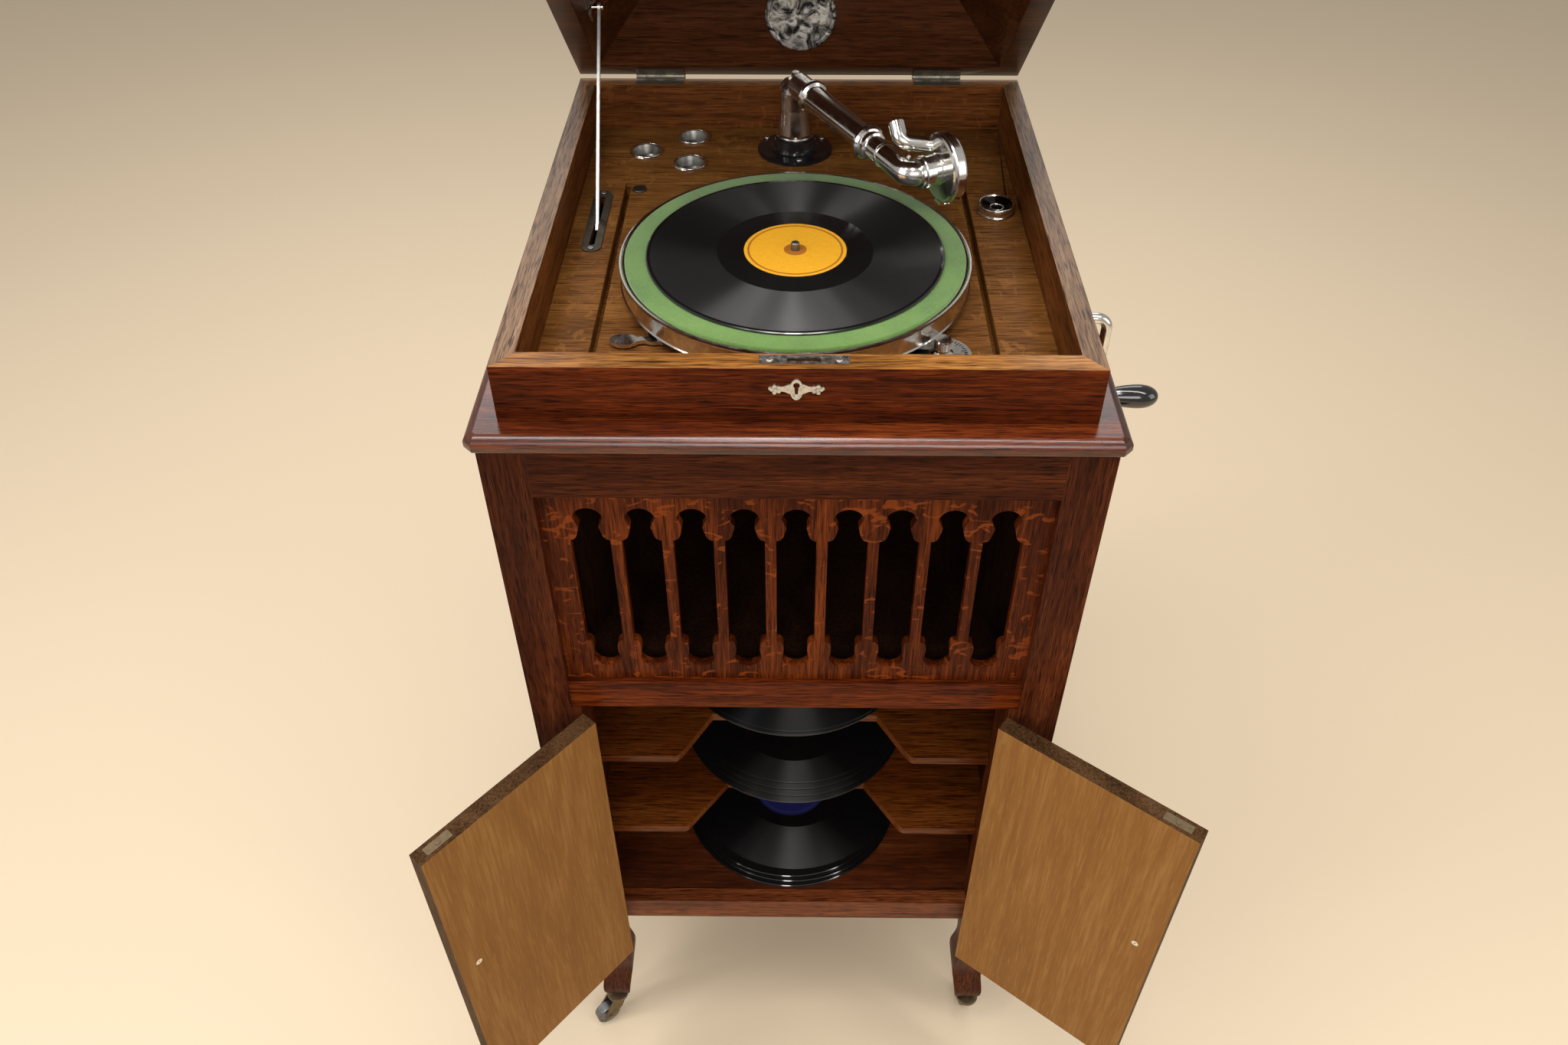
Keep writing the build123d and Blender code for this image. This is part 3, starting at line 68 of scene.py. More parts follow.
def noise(tree, vector, scale, detail=3.0, rough=0.55, distortion=0.0):
    node = tree.nodes.new("ShaderNodeTexNoise")
    node.inputs["Scale"].default_value = scale
    node.inputs["Detail"].default_value = detail
    node.inputs["Roughness"].default_value = rough
    node.inputs["Distortion"].default_value = distortion
    tree.links.new(vector, node.inputs["Vector"])
    return node.outputs["Fac"]


def math_node(tree, operation, a, b=None):
    node = tree.nodes.new("ShaderNodeMath")
    node.operation = operation
    for socket, value in zip(node.inputs, (a, b)):
        if value is None:
            continue
        if isinstance(value, (int, float)):
            socket.default_value = value
        else:
            tree.links.new(value, socket)
    return node.outputs[0]


def ramp(tree, value, stops):
    """Colours at places along 0 to 1; stops is ((place, colour), ...)."""
    node = tree.nodes.new("ShaderNodeValToRGB")
    elements = node.color_ramp.elements
    while len(elements) < len(stops):
        elements.new(0.5)
    for element, (place, color) in zip(elements, stops):
        element.position = place
        element.color = (*color, 1.0)
    tree.links.new(value, node.inputs["Fac"])
    return node.outputs["Color"]


def mix(tree, factor, a, b, kind="MIX"):
    """Mix two colours; each input is a number, a colour or another node's output."""
    node = tree.nodes.new("ShaderNodeMix")
    node.data_type = "RGBA"
    node.blend_type = kind
    for socket, value in ((node.inputs[0], factor), (node.inputs[6], a), (node.inputs[7], b)):
        if isinstance(value, (int, float)):
            socket.default_value = value
        elif isinstance(value, tuple):
            socket.default_value = (*value, 1.0)
        else:
            tree.links.new(value, socket)
    return node.outputs[2]


def stretched(tree, scale, shift=(0.0, 0.0, 0.0)):
    """Object coordinates scaled and shifted, so that a pattern runs along one axis."""
    coordinates = tree.nodes.new("ShaderNodeTexCoord")
    mapping = tree.nodes.new("ShaderNodeMapping")
    mapping.inputs["Scale"].default_value = scale
    mapping.inputs["Location"].default_value = shift
    tree.links.new(coordinates.outputs["Object"], mapping.inputs["Vector"])
    return mapping.outputs["Vector"]


def bump(tree, shader, height, strength, distance):
    node = tree.nodes.new("ShaderNodeBump")
    node.inputs["Strength"].default_value = strength
    node.inputs["Distance"].default_value = distance
    tree.links.new(height, node.inputs["Height"])
    tree.links.new(node.outputs["Normal"], shader.inputs["Normal"])


AXES = {"x": 0, "y": 1, "z": 2}


def oak(name, dark, mid, light, along, rings=10.0, roughness=0.34, shine=0.3, shift=0.0, fleck=0.0,
        pores=0.9, pale_pores=False):
    """Stained oak: contour-like growth figure, fine streaks and short dark pores along one axis."""
    material, tree, shader = blank(name, roughness)
    axis = AXES[along]
    slow_scale = [1.0, 1.0, 1.0]
    slow_scale[axis] = 0.11
    fine_scale = [1.0, 1.0, 1.0]
    fine_scale[axis] = 0.045
    slow = stretched(tree, slow_scale, (shift, shift * 0.7, shift * 1.3))
    fine = stretched(tree, fine_scale, (shift * 1.7, shift, shift * 0.4))
    figure = noise(tree, slow, 5.5, 2.0, 0.45)
    lines = math_node(tree, "PINGPONG", math_node(tree, "MULTIPLY", figure, rings), 0.5)
    streaks = noise(tree, fine, 330.0, 4.0, 0.7)
    fine_pores = noise(tree, fine, 1150.0, 1.0, 0.5)
    long_pores = noise(tree, fine, 620.0, 1.0, 0.5)
    broad = noise(tree, slow, 17.0, 3.0, 0.6)
    tone = math_node(tree, "MULTIPLY", lines, 0.34)
    tone = math_node(tree, "ADD", tone, math_node(tree, "MULTIPLY", streaks, 0.9))
    tone = math_node(tree, "ADD", tone, math_node(tree, "MULTIPLY", broad, 0.45))
    tone = math_node(tree, "SUBTRACT", tone, 0.27)
    color = ramp(tree, tone, ((0.28, dark), (0.5, mid), (0.78, light)))
    short_mask = ramp(tree, fine_pores, ((0.36, (0.3, 0.26, 0.24)), (0.47, WHITE)))
    long_mask = ramp(tree, long_pores, ((0.31, (0.25, 0.2, 0.18)), (0.39, WHITE)))
    if pale_pores:
        # bare, dusty pores that read lighter than the wood
        pale = ramp(tree, long_pores, ((0.33, (0.5, 0.5, 0.5)), (0.4, DARK)))
        color = mix(tree, pale, color, light)
    else:
        color = mix(tree, pores, color, short_mask, "MULTIPLY")
        color = mix(tree, pores * 0.9, color, long_mask, "MULTIPLY")
    if fleck:
        # the rays of quarter-sawn oak: short wavy marks across the grain
        cross_scale = [0.55, 0.55, 0.55]
        cross_scale[axis] = 1.0
        cross = stretched(tree, cross_scale, (0.3, shift, 0.1))
        rays = noise(tree, cross, 120.0, 1.0, 0.5, 0.9)
        places = noise(tree, stretched(tree, EVEN, (1.3, 0.2, shift)), 14.0, 2.0)
        shown = math_node(tree, "ADD", rays, math_node(tree, "MULTIPLY", places, 0.35))
        ray_mask = ramp(tree, shown, ((0.8, DARK), (0.87, (fleck, fleck, fleck))))
        color = mix(tree, ray_mask, color, tuple(1.25 * c for c in light))
    tree.links.new(color, shader.inputs["Base Color"])
    shader.inputs["Specular IOR Level"].default_value = shine
    shader.inputs["Coat Weight"].default_value = shine * 0.35
    shader.inputs["Coat Roughness"].default_value = 0.2
    bump(tree, shader, fine_pores, 0.2, 0.0004)
    return material


def metal(name, color, roughness, spots=0.15, scale=120.0):
    """Plated metal whose polish and colour are worn in small patches."""
    material, tree, shader = blank(name, roughness, 1.0, color)
    cloud = noise(tree, stretched(tree, EVEN), scale, 4.0, 0.6)
    rough = ramp(tree, cloud, ((0.35, (roughness,) * 3), (0.75, (min(1.0, roughness + spots),) * 3)))
    tree.links.new(rough, shader.inputs["Roughness"])
    worn = tuple(c * 0.72 for c in color)
    tint = ramp(tree, cloud, ((0.45, color), (0.8, worn)))
    tree.links.new(tint, shader.inputs["Base Color"])
    return material


def plain(name, color, roughness, metallic=0.0, coat=0.0):
    material, tree, shader = blank(name, roughness, metallic, color)
    shader.inputs["Coat Weight"].default_value = coat
    shader.inputs["Coat Roughness"].default_value = 0.1
    return material


# ---- wood colours ----
RED = ((0.0275, 0.0051, 0.0013), (0.0875, 0.0142, 0.0025), (0.2063, 0.0412, 0.006))
SIDE_RED = ((0.0285, 0.0061, 0.0024), (0.0712, 0.0156, 0.0046), (0.152, 0.041, 0.0122))
GRILLE_RED = ((0.027, 0.0046, 0.0014), (0.066, 0.0121, 0.0025), (0.1875, 0.0384, 0.006))
RIM = ((0.1, 0.04, 0.01), (0.31, 0.125, 0.028), (0.48, 0.235, 0.07))
# the side walls' tops: the rim's wood painted greyer, a painted sheen
RIM_SHEEN_SIDE = ((0.072, 0.0369, 0.0188), (0.18, 0.0984, 0.0488), (0.279, 0.1681, 0.0938))
DECK = ((0.1036, 0.0391, 0.0088), (0.19, 0.0751, 0.0171), (0.2764, 0.1228, 0.0312))
WALL = ((0.0723, 0.022, 0.0049), (0.1397, 0.043, 0.0091), (0.2145, 0.0739, 0.018))
DOOR = ((0.1916, 0.0811, 0.0182), (0.2233, 0.0969, 0.0223), (0.2984, 0.1492, 0.0434))
EDGE = ((0.0211, 0.0096, 0.0037), (0.0654, 0.03, 0.0107), (0.1122, 0.058, 0.0252))
SHELF = ((0.049, 0.0114, 0.002), (0.133, 0.0309, 0.0042), (0.224, 0.0706, 0.0119))
FLOOR_RED = ((0.0403, 0.0095, 0.0029), (0.0967, 0.0209, 0.0051), (0.1773, 0.0486, 0.0121))
INSIDE = ((0.015, 0.0035, 0.001), (0.042, 0.01, 0.002), (0.072, 0.019, 0.0044))
HORN_DARK = ((0.006, 0.002, 0.001), (0.014, 0.005, 0.002), (0.025, 0.01, 0.004))
LID_IN = ((0.02, 0.0057, 0.002), (0.0501, 0.0139, 0.0039), (0.093, 0.03, 0.0095))
RAIL_RED = ((0.0155, 0.0036, 0.0014), (0.048, 0.0098, 0.0028), (0.11, 0.027, 0.0068))
# the bottom rail's palette is lighter than the other rails: painted sheen
LOWER_SHEEN = ((0.06, 0.016, 0.0055), (0.15, 0.036, 0.0095), (0.26, 0.082, 0.024))

# each palette is dark, middle and light; MATT is how little the outer faces shine
MATT = 0.05
OUTER_X = oak("oak outer across", *RED, "x", shift=0.4, shine=MATT)
RAIL_X = oak("oak front rails", *RAIL_RED, "x", shift=8.3, shine=MATT)
OUTER_Y = oak("oak outer deep", *SIDE_RED, "y", shift=1.9, shine=MATT)
OUTER_Z = oak("oak outer upright", *SIDE_RED, "z", shift=0.9, shine=MATT)
PLINTH_X = oak("oak plinth across", *RED, "x", shift=1.7, shine=0.6, roughness=0.26)
PLINTH_Y = oak("oak plinth deep", *SIDE_RED, "y", shift=2.1, shine=0.5, roughness=0.3)
GRILLE_Z = oak("oak grille", *GRILLE_RED, "z", shift=2.3, fleck=0.6, shine=MATT, pores=0.7)
RIM_X = oak("oak rim across", *RIM, "x", shift=0.2, shine=0.15)
# rim wood with painted sheen on the side walls' tops
RIM_SHEEN_Y = oak("oak rim deep painted sheen", *RIM_SHEEN_SIDE, "y", shift=0.6, shine=0.15)
DECK_X = oak("oak deck across", *DECK, "x", shift=3.1, fleck=0.3, shine=0.07, roughness=0.5, pores=0.8)
WALL_X = oak("oak wall across", *WALL, "x", shift=1.1, roughness=0.5, fleck=0.2, shine=0.08, pores=0.7)
WALL_Y = oak("oak wall deep", *WALL, "y", shift=1.4, roughness=0.5, shine=0.06, pores=0.8)
DOOR_Z = oak(
    "oak door inside", *DOOR, "z", shift=0.35, rings=22.0, roughness=0.55, shine=0.08, pale_pores=True
)
EDGE_Z = oak("oak door edge", *EDGE, "z", shift=0.8, roughness=0.6, shine=0.05)
SHELF_X = oak("oak shelf", *SHELF, "x", shift=2.8, shine=0.12, pores=0.9)
FLOOR_X = oak("oak compartment floor", *FLOOR_RED, "x", shift=6.1, shine=0.3, pores=0.6)
INNER_Z = oak("oak inside", *INSIDE, "z", shift=4.2, shine=0.15)
HORN_Z = oak("oak horn", *HORN_DARK, "z", shift=4.9, shine=0.05, roughness=0.6)
LID_X = oak("oak lid inside across", *LID_IN, "x", shift=5.2, shine=0.1, pores=0.7)
LID_Y = oak("oak lid inside deep", *LID_IN, "y", shift=5.9, shine=0.1, pores=0.7)
# the bottom rail painted lighter than the other rails: painted sheen
LOWER_SHEEN_X = oak("oak lower rail painted sheen", *LOWER_SHEEN, "x", shift=7.4, shine=0.12)

BRIGHT_NICKEL = metal("bright rod", (0.95, 0.94, 0.92), 0.4, 0.05)
HINGE_METAL = metal("dull hinge", (0.27, 0.245, 0.2), 0.4, 0.3, 160.0)
TIRED_BRASS = metal("caster brass", (0.2, 0.145, 0.085), 0.42, 0.3, 160.0)
NICKEL = metal("nickel plate", (0.80, 0.775, 0.73), 0.12, 0.14)
WORN_NICKEL = metal("worn nickel", (0.66, 0.64, 0.6), 0.26, 0.25, 200.0)
BRASS = metal("aged brass", (0.44, 0.33, 0.19), 0.34, 0.25, 160.0)
# nickel bowls and funnel painted dark inside: painted dark reflection
BOWL_DARK_REFLECTION = metal("bowl nickel painted dark reflection", (0.3, 0.29, 0.27), 0.3, 0.2, 200.0)
FUNNEL_DARK_REFLECTION = metal("funnel nickel painted dark reflection", (0.05, 0.045, 0.04), 0.14, 0.1, 200.0)
STEEL = metal("wheel steel", (0.2, 0.2, 0.2), 0.3, 0.3, 160.0)
DARK_METAL = metal("darkened steel", (0.16, 0.135, 0.105), 0.38, 0.2, 140.0)
IRON = plain("motor iron", (0.035, 0.035, 0.038), 0.55, 0.6)
BLACK_ENAMEL = plain("black enamel", (0.008, 0.008, 0.009), 0.16, 0.0, 0.6)
HANDLE_BLACK = plain("black lacquered handle", (0.007, 0.006, 0.006), 0.14, 0.0, 0.7)
SILVERED = metal("old silver plate", (0.6, 0.585, 0.55), 0.3, 0.25, 300.0)


def felt_material():
    material, tree, shader = blank("green felt", 0.95)
    spot = stretched(tree, EVEN)
    fibres = noise(tree, spot, 900.0, 4.0, 0.7)
    patches = noise(tree, spot, 16.0, 4.0, 0.6)
    fine = math_node(tree, "MULTIPLY", fibres, 0.55)
    coarse = math_node(tree, "MULTIPLY", patches, 0.45)
    mixed = math_node(tree, "ADD", fine, coarse)
    stops = ((0.3, (0.026, 0.07, 0.01)), (0.47, (0.085, 0.185, 0.028)), (0.72, (0.145, 0.275, 0.055)))
    tree.links.new(ramp(tree, mixed, stops), shader.inputs["Base Color"])
    shader.inputs["Sheen Weight"].default_value = 0.35
    bump(tree, shader, fibres, 0.5, 0.0006)
    return material


def outward(tree, x, y):
    """The level vector from the centre (x, y) to the surface, and its length."""
    coordinates = tree.nodes.new("ShaderNodeTexCoord")
    offset = tree.nodes.new("ShaderNodeVectorMath")
    offset.operation = "SUBTRACT"
    offset.inputs[1].default_value = (x, y, 0.0)
    tree.links.new(coordinates.outputs["Object"], offset.inputs[0])
    flat = tree.nodes.new("ShaderNodeVectorMath")
    flat.operation = "MULTIPLY"
    flat.inputs[1].default_value = (1.0, 1.0, 0.0)
    tree.links.new(offset.outputs[0], flat.inputs[0])
    length = tree.nodes.new("ShaderNodeVectorMath")
    length.operation = "LENGTH"
    tree.links.new(flat.outputs[0], length.inputs[0])
    return flat.outputs[0], length.outputs["Value"]


def shellac_material(name, x, y, groove_pitch):
    """Black shellac with concentric grooves about one centre; the dead wax near the label is smooth."""
    material, tree, shader = blank(name, 0.3, 0.0, (0.006, 0.006, 0.0065))
    shader.inputs["Anisotropic"].default_value = 1.0
    shader.inputs["Specular IOR Level"].default_value = 0.9
    direction, radius = outward(tree, x, y)
    # light spreads across the grooves, so the shine runs outward from the label
    tree.links.new(direction, shader.inputs["Tangent"])
    turns = math_node(tree, "MULTIPLY", radius, 2.0 * math.pi / groove_pitch)
    wave = math_node(tree, "SINE", turns)
    outside = math_node(tree, "GREATER_THAN", radius, GROOVES_START)
    inside = math_node(tree, "LESS_THAN", radius, GROOVES_END)
    grooved = math_node(tree, "MULTIPLY", outside, inside)
    groove = math_node(tree, "MULTIPLY", wave, grooved)
    bump(tree, shader, groove, 0.2, 0.00005)
    banding = noise(tree, stretched(tree, EVEN), 30.0, 2.0)
    rough = math_node(tree, "ADD", math_node(tree, "MULTIPLY", banding, 0.06), 0.08)
    rough = math_node(tree, "ADD", rough, math_node(tree, "MULTIPLY", grooved, 0.38))
    tree.links.new(rough, shader.inputs["Roughness"])
    return material


FELT = felt_material()
RECORD = shellac_material("record shellac", TABLE_X, TABLE_Y, 0.0011)
STORED = shellac_material("stored shellac", 0.0, 0.183, 0.0013)


def medallion_material():
    material, tree, shader = blank("marbled medallion", 0.3, 0.9)
    spot = stretched(tree, EVEN)
    swirls = noise(tree, spot, 55.0, 6.0, 0.62, 2.4)
    stops = ((0.4, (0.02, 0.02, 0.02)), (0.5, (0.3, 0.29, 0.27)), (0.58, (0.75, 0.73, 0.69)))
    tree.links.new(ramp(tree, swirls, stops), shader.inputs["Base Color"])
    bump(tree, shader, swirls, 0.6, 0.0016)
    return material


MEDALLION = medallion_material()


# ---- giving the CAD nodes their materials ----
def dress(name, *materials):
    """Give a CAD node its materials, in slot order."""
    node = NODES[name]
    node.data.materials.clear()
    for material in materials:
        node.data.materials.append(material)
    return node


def by_face(name, choose, *materials):
    """Several materials on one node; choose(centre, normal) gives the slot of each face."""
    node = dress(name, *materials)
    for face in node.data.polygons:
        face.material_index = choose(face.center, face.normal)


def soften(name, width=0.0008):
    """Break the sharp arrises of a board, as a plane and sandpaper do."""
    node = NODES[name]
    weld = node.modifiers.new("weld", "WELD")
    weld.merge_threshold = 0.00002
    edge = node.modifiers.new("arris", "BEVEL")
    edge.width = width
    edge.segments = 2
    edge.limit_method = "ANGLE"
    edge.angle_limit = math.radians(40)
    edge.harden_normals = False


BOTTOM_RAIL_BELOW_Z = 0.3
TOP_RAIL_ABOVE_Z = 0.75


def rail_face(centre, normal):
    """The top rail is darkest; the bottom rail is painted lighter, which is painted sheen."""
    if centre.z < BOTTOM_RAIL_BELOW_Z:
        return 2
    return 1 if centre.z < TOP_RAIL_ABOVE_Z else 0


by_face("front_rails", rail_face, RAIL_X, OUTER_X, LOWER_SHEEN_X)
dress("posts", OUTER_Z)
dress("side_rails", OUTER_Y)
dress("side_panels", OUTER_Z)
dress("back_panel", OUTER_Z)
dress("grille", GRILLE_Z)
dress("horn", HORN_Z)
dress("compartment_liner", INNER_Z)
dress("floor_board", FLOOR_X)
dress("shelves", SHELF_X)
dress("shelf_cleats", SHELF_X)
dress("deck", DECK_X)
dress("motor_board", DECK_X)


PLINTH_END_X = 0.243


def plinth_face(centre, normal):
    """The grain runs along each side of the plinth board."""
    return 1 if abs(centre.x) > PLINTH_END_X else 0


by_face("plinth", plinth_face, PLINTH_X, PLINTH_Y)


INNER_WALL_X = 0.21
HALF_GAP = 0.0001
INSIDE_FRONT_Y = 0.03
INSIDE_BACK_Y = 0.52


def wall_face(centre, normal):
    """Outer faces red; the top of the walls golden, or grey on the side walls as painted sheen; inner faces
    brown.
    """
    side = abs(centre.x) > INNER_WALL_X - HALF_GAP
    between = INSIDE_FRONT_Y < centre.y < INSIDE_BACK_Y
    if normal.z > 0.7:
        return 3 if side and between else 2
    if side:
        return 5 if abs(centre.x) < INNER_WALL_X + HALF_GAP else 1
    return 4 if between else 0


by_face("box_walls", wall_face, OUTER_X, OUTER_Y, RIM_X, RIM_SHEEN_Y, WALL_X, WALL_Y)

LID_TILT = math.radians(43.0)


def lid_face(centre, normal):
    """Outside red, underside and inner slopes brown; grain runs across on front and back slopes."""
    up = Vector((0.0, math.sin(LID_TILT), math.cos(LID_TILT)))
    facing_in = normal.dot(up) < -0.2
    sideways = abs(normal.x) > 0.5
    if facing_in:
        return 3 if sideways else 2
    return 1 if sideways else 0


by_face("lid", lid_face, OUTER_X, OUTER_Y, LID_X, LID_Y)


def door_face(side):
    """The broad inner face golden, the outer one red, the narrow edges grey-brown."""
    degrees = DOOR_TURNS[side]
    inward = Vector((0.0, 1.0, 0.0))
    inward.rotate(Matrix.Rotation(math.radians(degrees), 3, "Z"))

    def choose(centre, normal):
        facing = normal.dot(inward)
        if facing > 0.9:
            return 0
        return 1 if facing < -0.9 else 2

    return choose


by_face("door_left", door_face("left"), DOOR_Z, OUTER_Z, EDGE_Z)
by_face("door_right", door_face("right"), DOOR_Z, OUTER_Z, EDGE_Z)

BOARDS = (
    "front_rails", "side_rails", "side_panels", "back_panel", "shelves", "deck", "motor_board", "box_walls",
    "lid", "door_left", "door_right", "grille", "shelf_cleats", "floor_board",
)
for board in BOARDS:
    soften(board)

PLATED = (
    "arm_column", "arm_tube", "gooseneck", "second_throat", "crank_rod", "platter", "sound_box",
    "needle_chuck", "needle_screw", "brake_lever", "speed_knob", "stay_bracket", "crank_bushing",
)
for name in PLATED:
    dress(name, NICKEL)


FUNNEL_RADIUS = 0.0142
BOWL_RADIUS = 0.0138


def cup_face(centre, normal):
    """The bowls are painted darker inside than their rolled rims, and the funnel inside nearly black:
    painted dark reflection on nickel.
    """
    if centre.x > 0.0:
        reach = math.hypot(centre.x - USED_CUP_X, centre.y - USED_CUP_Y)
        return 2 if reach < FUNNEL_RADIUS and normal.z > 0.0 else 0
    reach = min(math.hypot(centre.x - x, centre.y - y) for x, y in NEEDLE_CUPS)
    return 1 if reach < BOWL_RADIUS else 0


by_face("needle_cups", cup_face, NICKEL, BOWL_DARK_REFLECTION, FUNNEL_DARK_REFLECTION)


def dial_face(centre, normal):
    """The bracket's low foot, left and in front of the knob, is black."""
    low = centre.z < DECK_Z + 0.0035
    return 1 if low and centre.x < KNOB_X - 0.0102 and centre.y < KNOB_Y + 0.0032 else 0


by_face("speed_dial", dial_face, SILVERED, BLACK_ENAMEL)
dress("box_lock", WORN_NICKEL)
dress("deck_fittings", DARK_METAL)
dress("arm_flange", BLACK_ENAMEL)
dress("rest_hook", BLACK_ENAMEL)
dress("crank_handle", HANDLE_BLACK)
dress("hinges_fixed", HINGE_METAL)
dress("lid_hinges_moving", HINGE_METAL)
dress("door_left_fittings", TIRED_BRASS)
dress("door_right_fittings", TIRED_BRASS)
dress("lid_stay", BRIGHT_NICKEL)
dress("medallion", MEDALLION)
dress("felt", FELT)
dress("record", RECORD)
dress("stored_records", STORED)
dress("spindle", STEEL)
dress("spring_barrel", STEEL)
dress("governor", BRASS)
dress("motor_frame", IRON)
for where in ("front_left", "front_right", "rear_left", "rear_right"):
    dress("caster_" + where, TIRED_BRASS)
    dress("wheel_" + where, STEEL)


# ---- small pieces made here ----
def piece(name, vertices, faces, material, body, slot, smooth=False):
    """A new mesh that rides on a body, with one material; slot is not used."""
    mesh = bpy.data.meshes.new(name)
    mesh.from_pydata(vertices, [], faces)
    mesh.update()
    item = bpy.data.objects.new(name, mesh)
    bpy.context.scene.collection.objects.link(item)
    mesh.materials.append(material)
    for face in mesh.polygons:
        face.use_smooth = smooth
    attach(item, body)
    return item


def disc_data(centre, across, up, inner, outer, thickness, sides=96):
    """A washer: across and up are unit vectors, up the way it faces."""
    beside = up.cross(across)
    vertices = []
    for level in (0.0, thickness):
        for radius in (inner, outer):
            for n in range(sides):
                a = 2 * math.pi * n / sides
                place = centre + across * radius * math.cos(a) + beside * radius * math.sin(a) + up * level
                vertices.append(place)
    faces = []
    for n in range(sides):
        m = (n + 1) % sides
        faces.append((2 * sides + n, 3 * sides + n, 3 * sides + m, 2 * sides + m))
        faces.append((n, m, sides + m, sides + n))
        faces.append((sides + n, sides + m, 3 * sides + m, 3 * sides + n))
        faces.append((n, 2 * sides + n, 2 * sides + m, m))
    return vertices, faces


def label_material(name, ground, ink, x, y):
    """A blank paper label: coloured ground with plain printed rings."""
    material, tree, shader = blank(name, 0.55, 0.0, ground)
    _, radius = outward(tree, x, y)
    scaled = math_node(tree, "MULTIPLY", radius, 1.0 / 0.044)
    stops = (
        (0.0, ink), (0.22, ink), (0.225, ground), (0.885, ground), (0.89, ink), (0.925, ink), (0.93, ground),
    )
    rings = ramp(tree, scaled, stops)
    paper = noise(tree, stretched(tree, EVEN), 260.0, 4.0, 0.7)
    shade = ramp(tree, paper, ((0.3, (0.86, 0.84, 0.8)), (0.7, WHITE)))
    tree.links.new(mix(tree, 1.0, rings, shade, "MULTIPLY"), shader.inputs["Base Color"])
    return material


UP = Vector((0.0, 0.0, 1.0))
ACROSS = Vector((1.0, 0.0, 0.0))
LABEL = label_material("yellow label", (0.86, 0.42, 0.018), (0.42, 0.14, 0.012), TABLE_X, TABLE_Y)
BLUE = label_material("blue label", (0.02, 0.022, 0.17), (0.05, 0.05, 0.2), -0.0035, 0.1767)


def paper_label(name, x, y, z, material, body):
    centre = Vector((x, y, z))
    vertices, faces = disc_data(centre, ACROSS, UP, SPINDLE_HOLE, LABEL_RADIUS, LABEL_THICKNESS)
    piece(name, vertices, faces, material, body, "shellac")


paper_label("record_label", TABLE_X, TABLE_Y, RECORD_TOP_Z, LABEL, "turntable")

# the top record of each stack: across, back, the shelf's top and the stack's height
STACK_TOPS = (
    ("bottom", -0.0035, 0.1767, 0.265, 0.0078),
    ("middle", 0.0015, 0.2137, 0.3935, 0.0104),
    ("top", -0.0002, 0.1911, 0.5195, 0.0052),
)
for place, x, y, shelf_z, height in STACK_TOPS:
    paper_label("stored_label_" + place, x, y, shelf_z + height, BLUE, "cabinet")


def screw_data(centre, up, radius, height):
    """A low countersunk head with a slot, as two raised half discs."""
    across = up.orthogonal().normalized()
    beside = up.cross(across)
    vertices = []
    faces = []
    sides = 18
    gap = radius * 0.12
    for side in (1.0, -1.0):
        start = len(vertices)
        half = math.asin(gap / radius)
        for level, shrink in ((0.0, 1.0), (height, 0.9)):
            for n in range(sides):
                a = half + (math.pi - 2 * half) * n / (sides - 1)
                reach = radius * shrink
                place = across * reach * math.cos(a) + beside * side * reach * math.sin(a)
                vertices.append(centre + place + up * level)
        for n in range(sides - 1):
            quad = (start + n, start + n + 1, start + sides + n + 1, start + sides + n)
            faces.append(quad if side > 0 else quad[::-1])
        top = tuple(start + sides + n for n in range(sides))
        faces.append(top if side > 0 else top[::-1])
        first = start
        last = start + sides - 1
        flat_side = (first, first + sides, last + sides, last)
        faces.append(flat_side if side > 0 else flat_side[::-1])
    return vertices, faces


def joined(shells):
    """Many (vertices, faces) as one."""
    all_vertices = []
    all_faces = []
    for vertices, faces in shells:
        start = len(all_vertices)
        all_vertices += vertices
        all_faces += [tuple(start + i for i in face) for face in faces]
    return all_vertices, all_faces


def screws(name, places, radius, height, material, body, slot):
    shells = [screw_data(Vector(place), UP, radius, height) for place in places]
    piece(name, *joined(shells), material, body, slot)


FLANGE_TOP_Z = RIM_Z - 0.0414
FLANGE_SCREWS = ((-0.0287, 0.020), (0.027, 0.019), (0.004, -0.031))
flange_places = [(ARM_X + dx, ARM_Y + dy, FLANGE_TOP_Z) for dx, dy in FLANGE_SCREWS]
lock_places = [(x, 0.0287, RIM_Z + 0.0005) for x in (-0.021, 0.0305)]
stay_places = [(-0.1873, y, DECK_Z + 0.0022) for y in (0.263, 0.367)]
screws("flange_screws", flange_places, 0.0028, 0.0005, WORN_NICKEL, "cabinet", "nickel")
screws("lock_screws", lock_places, 0.0025, 0.0003, WORN_NICKEL, "cabinet", "nickel")
screws("stay_plate_screws", stay_places, 0.0025, 0.0003, WORN_NICKEL, "cabinet", "steel")


def torus_data(centre, up, radius, thickness, sides=64, around=10):
    """A ring of round section about the axis up."""
    across = up.orthogonal().normalized()
    beside = up.cross(across)
    vertices = []
    for n in range(sides):
        a = 2 * math.pi * n / sides
        out = across * math.cos(a) + beside * math.sin(a)
        for m in range(around):
            b = 2 * math.pi * m / around
            vertices.append(centre + out * (radius + thickness * math.cos(b)) + up * thickness * math.sin(b))
    faces = []
    for n in range(sides):
        for m in range(around):
            k = (n + 1) % sides
            j = (m + 1) % around
            faces.append((n * around + m, k * around + m, k * around + j, n * around + j))
    return vertices, faces


BEAD = 0.0009


def beads(name, rings):
    """Rolled nickel rims; each ring is a centre and a radius."""
    shells = [torus_data(Vector(centre), UP, radius, BEAD) for centre, radius in rings]
    piece(name, *joined(shells), NICKEL, "cabinet", "nickel", smooth=True)


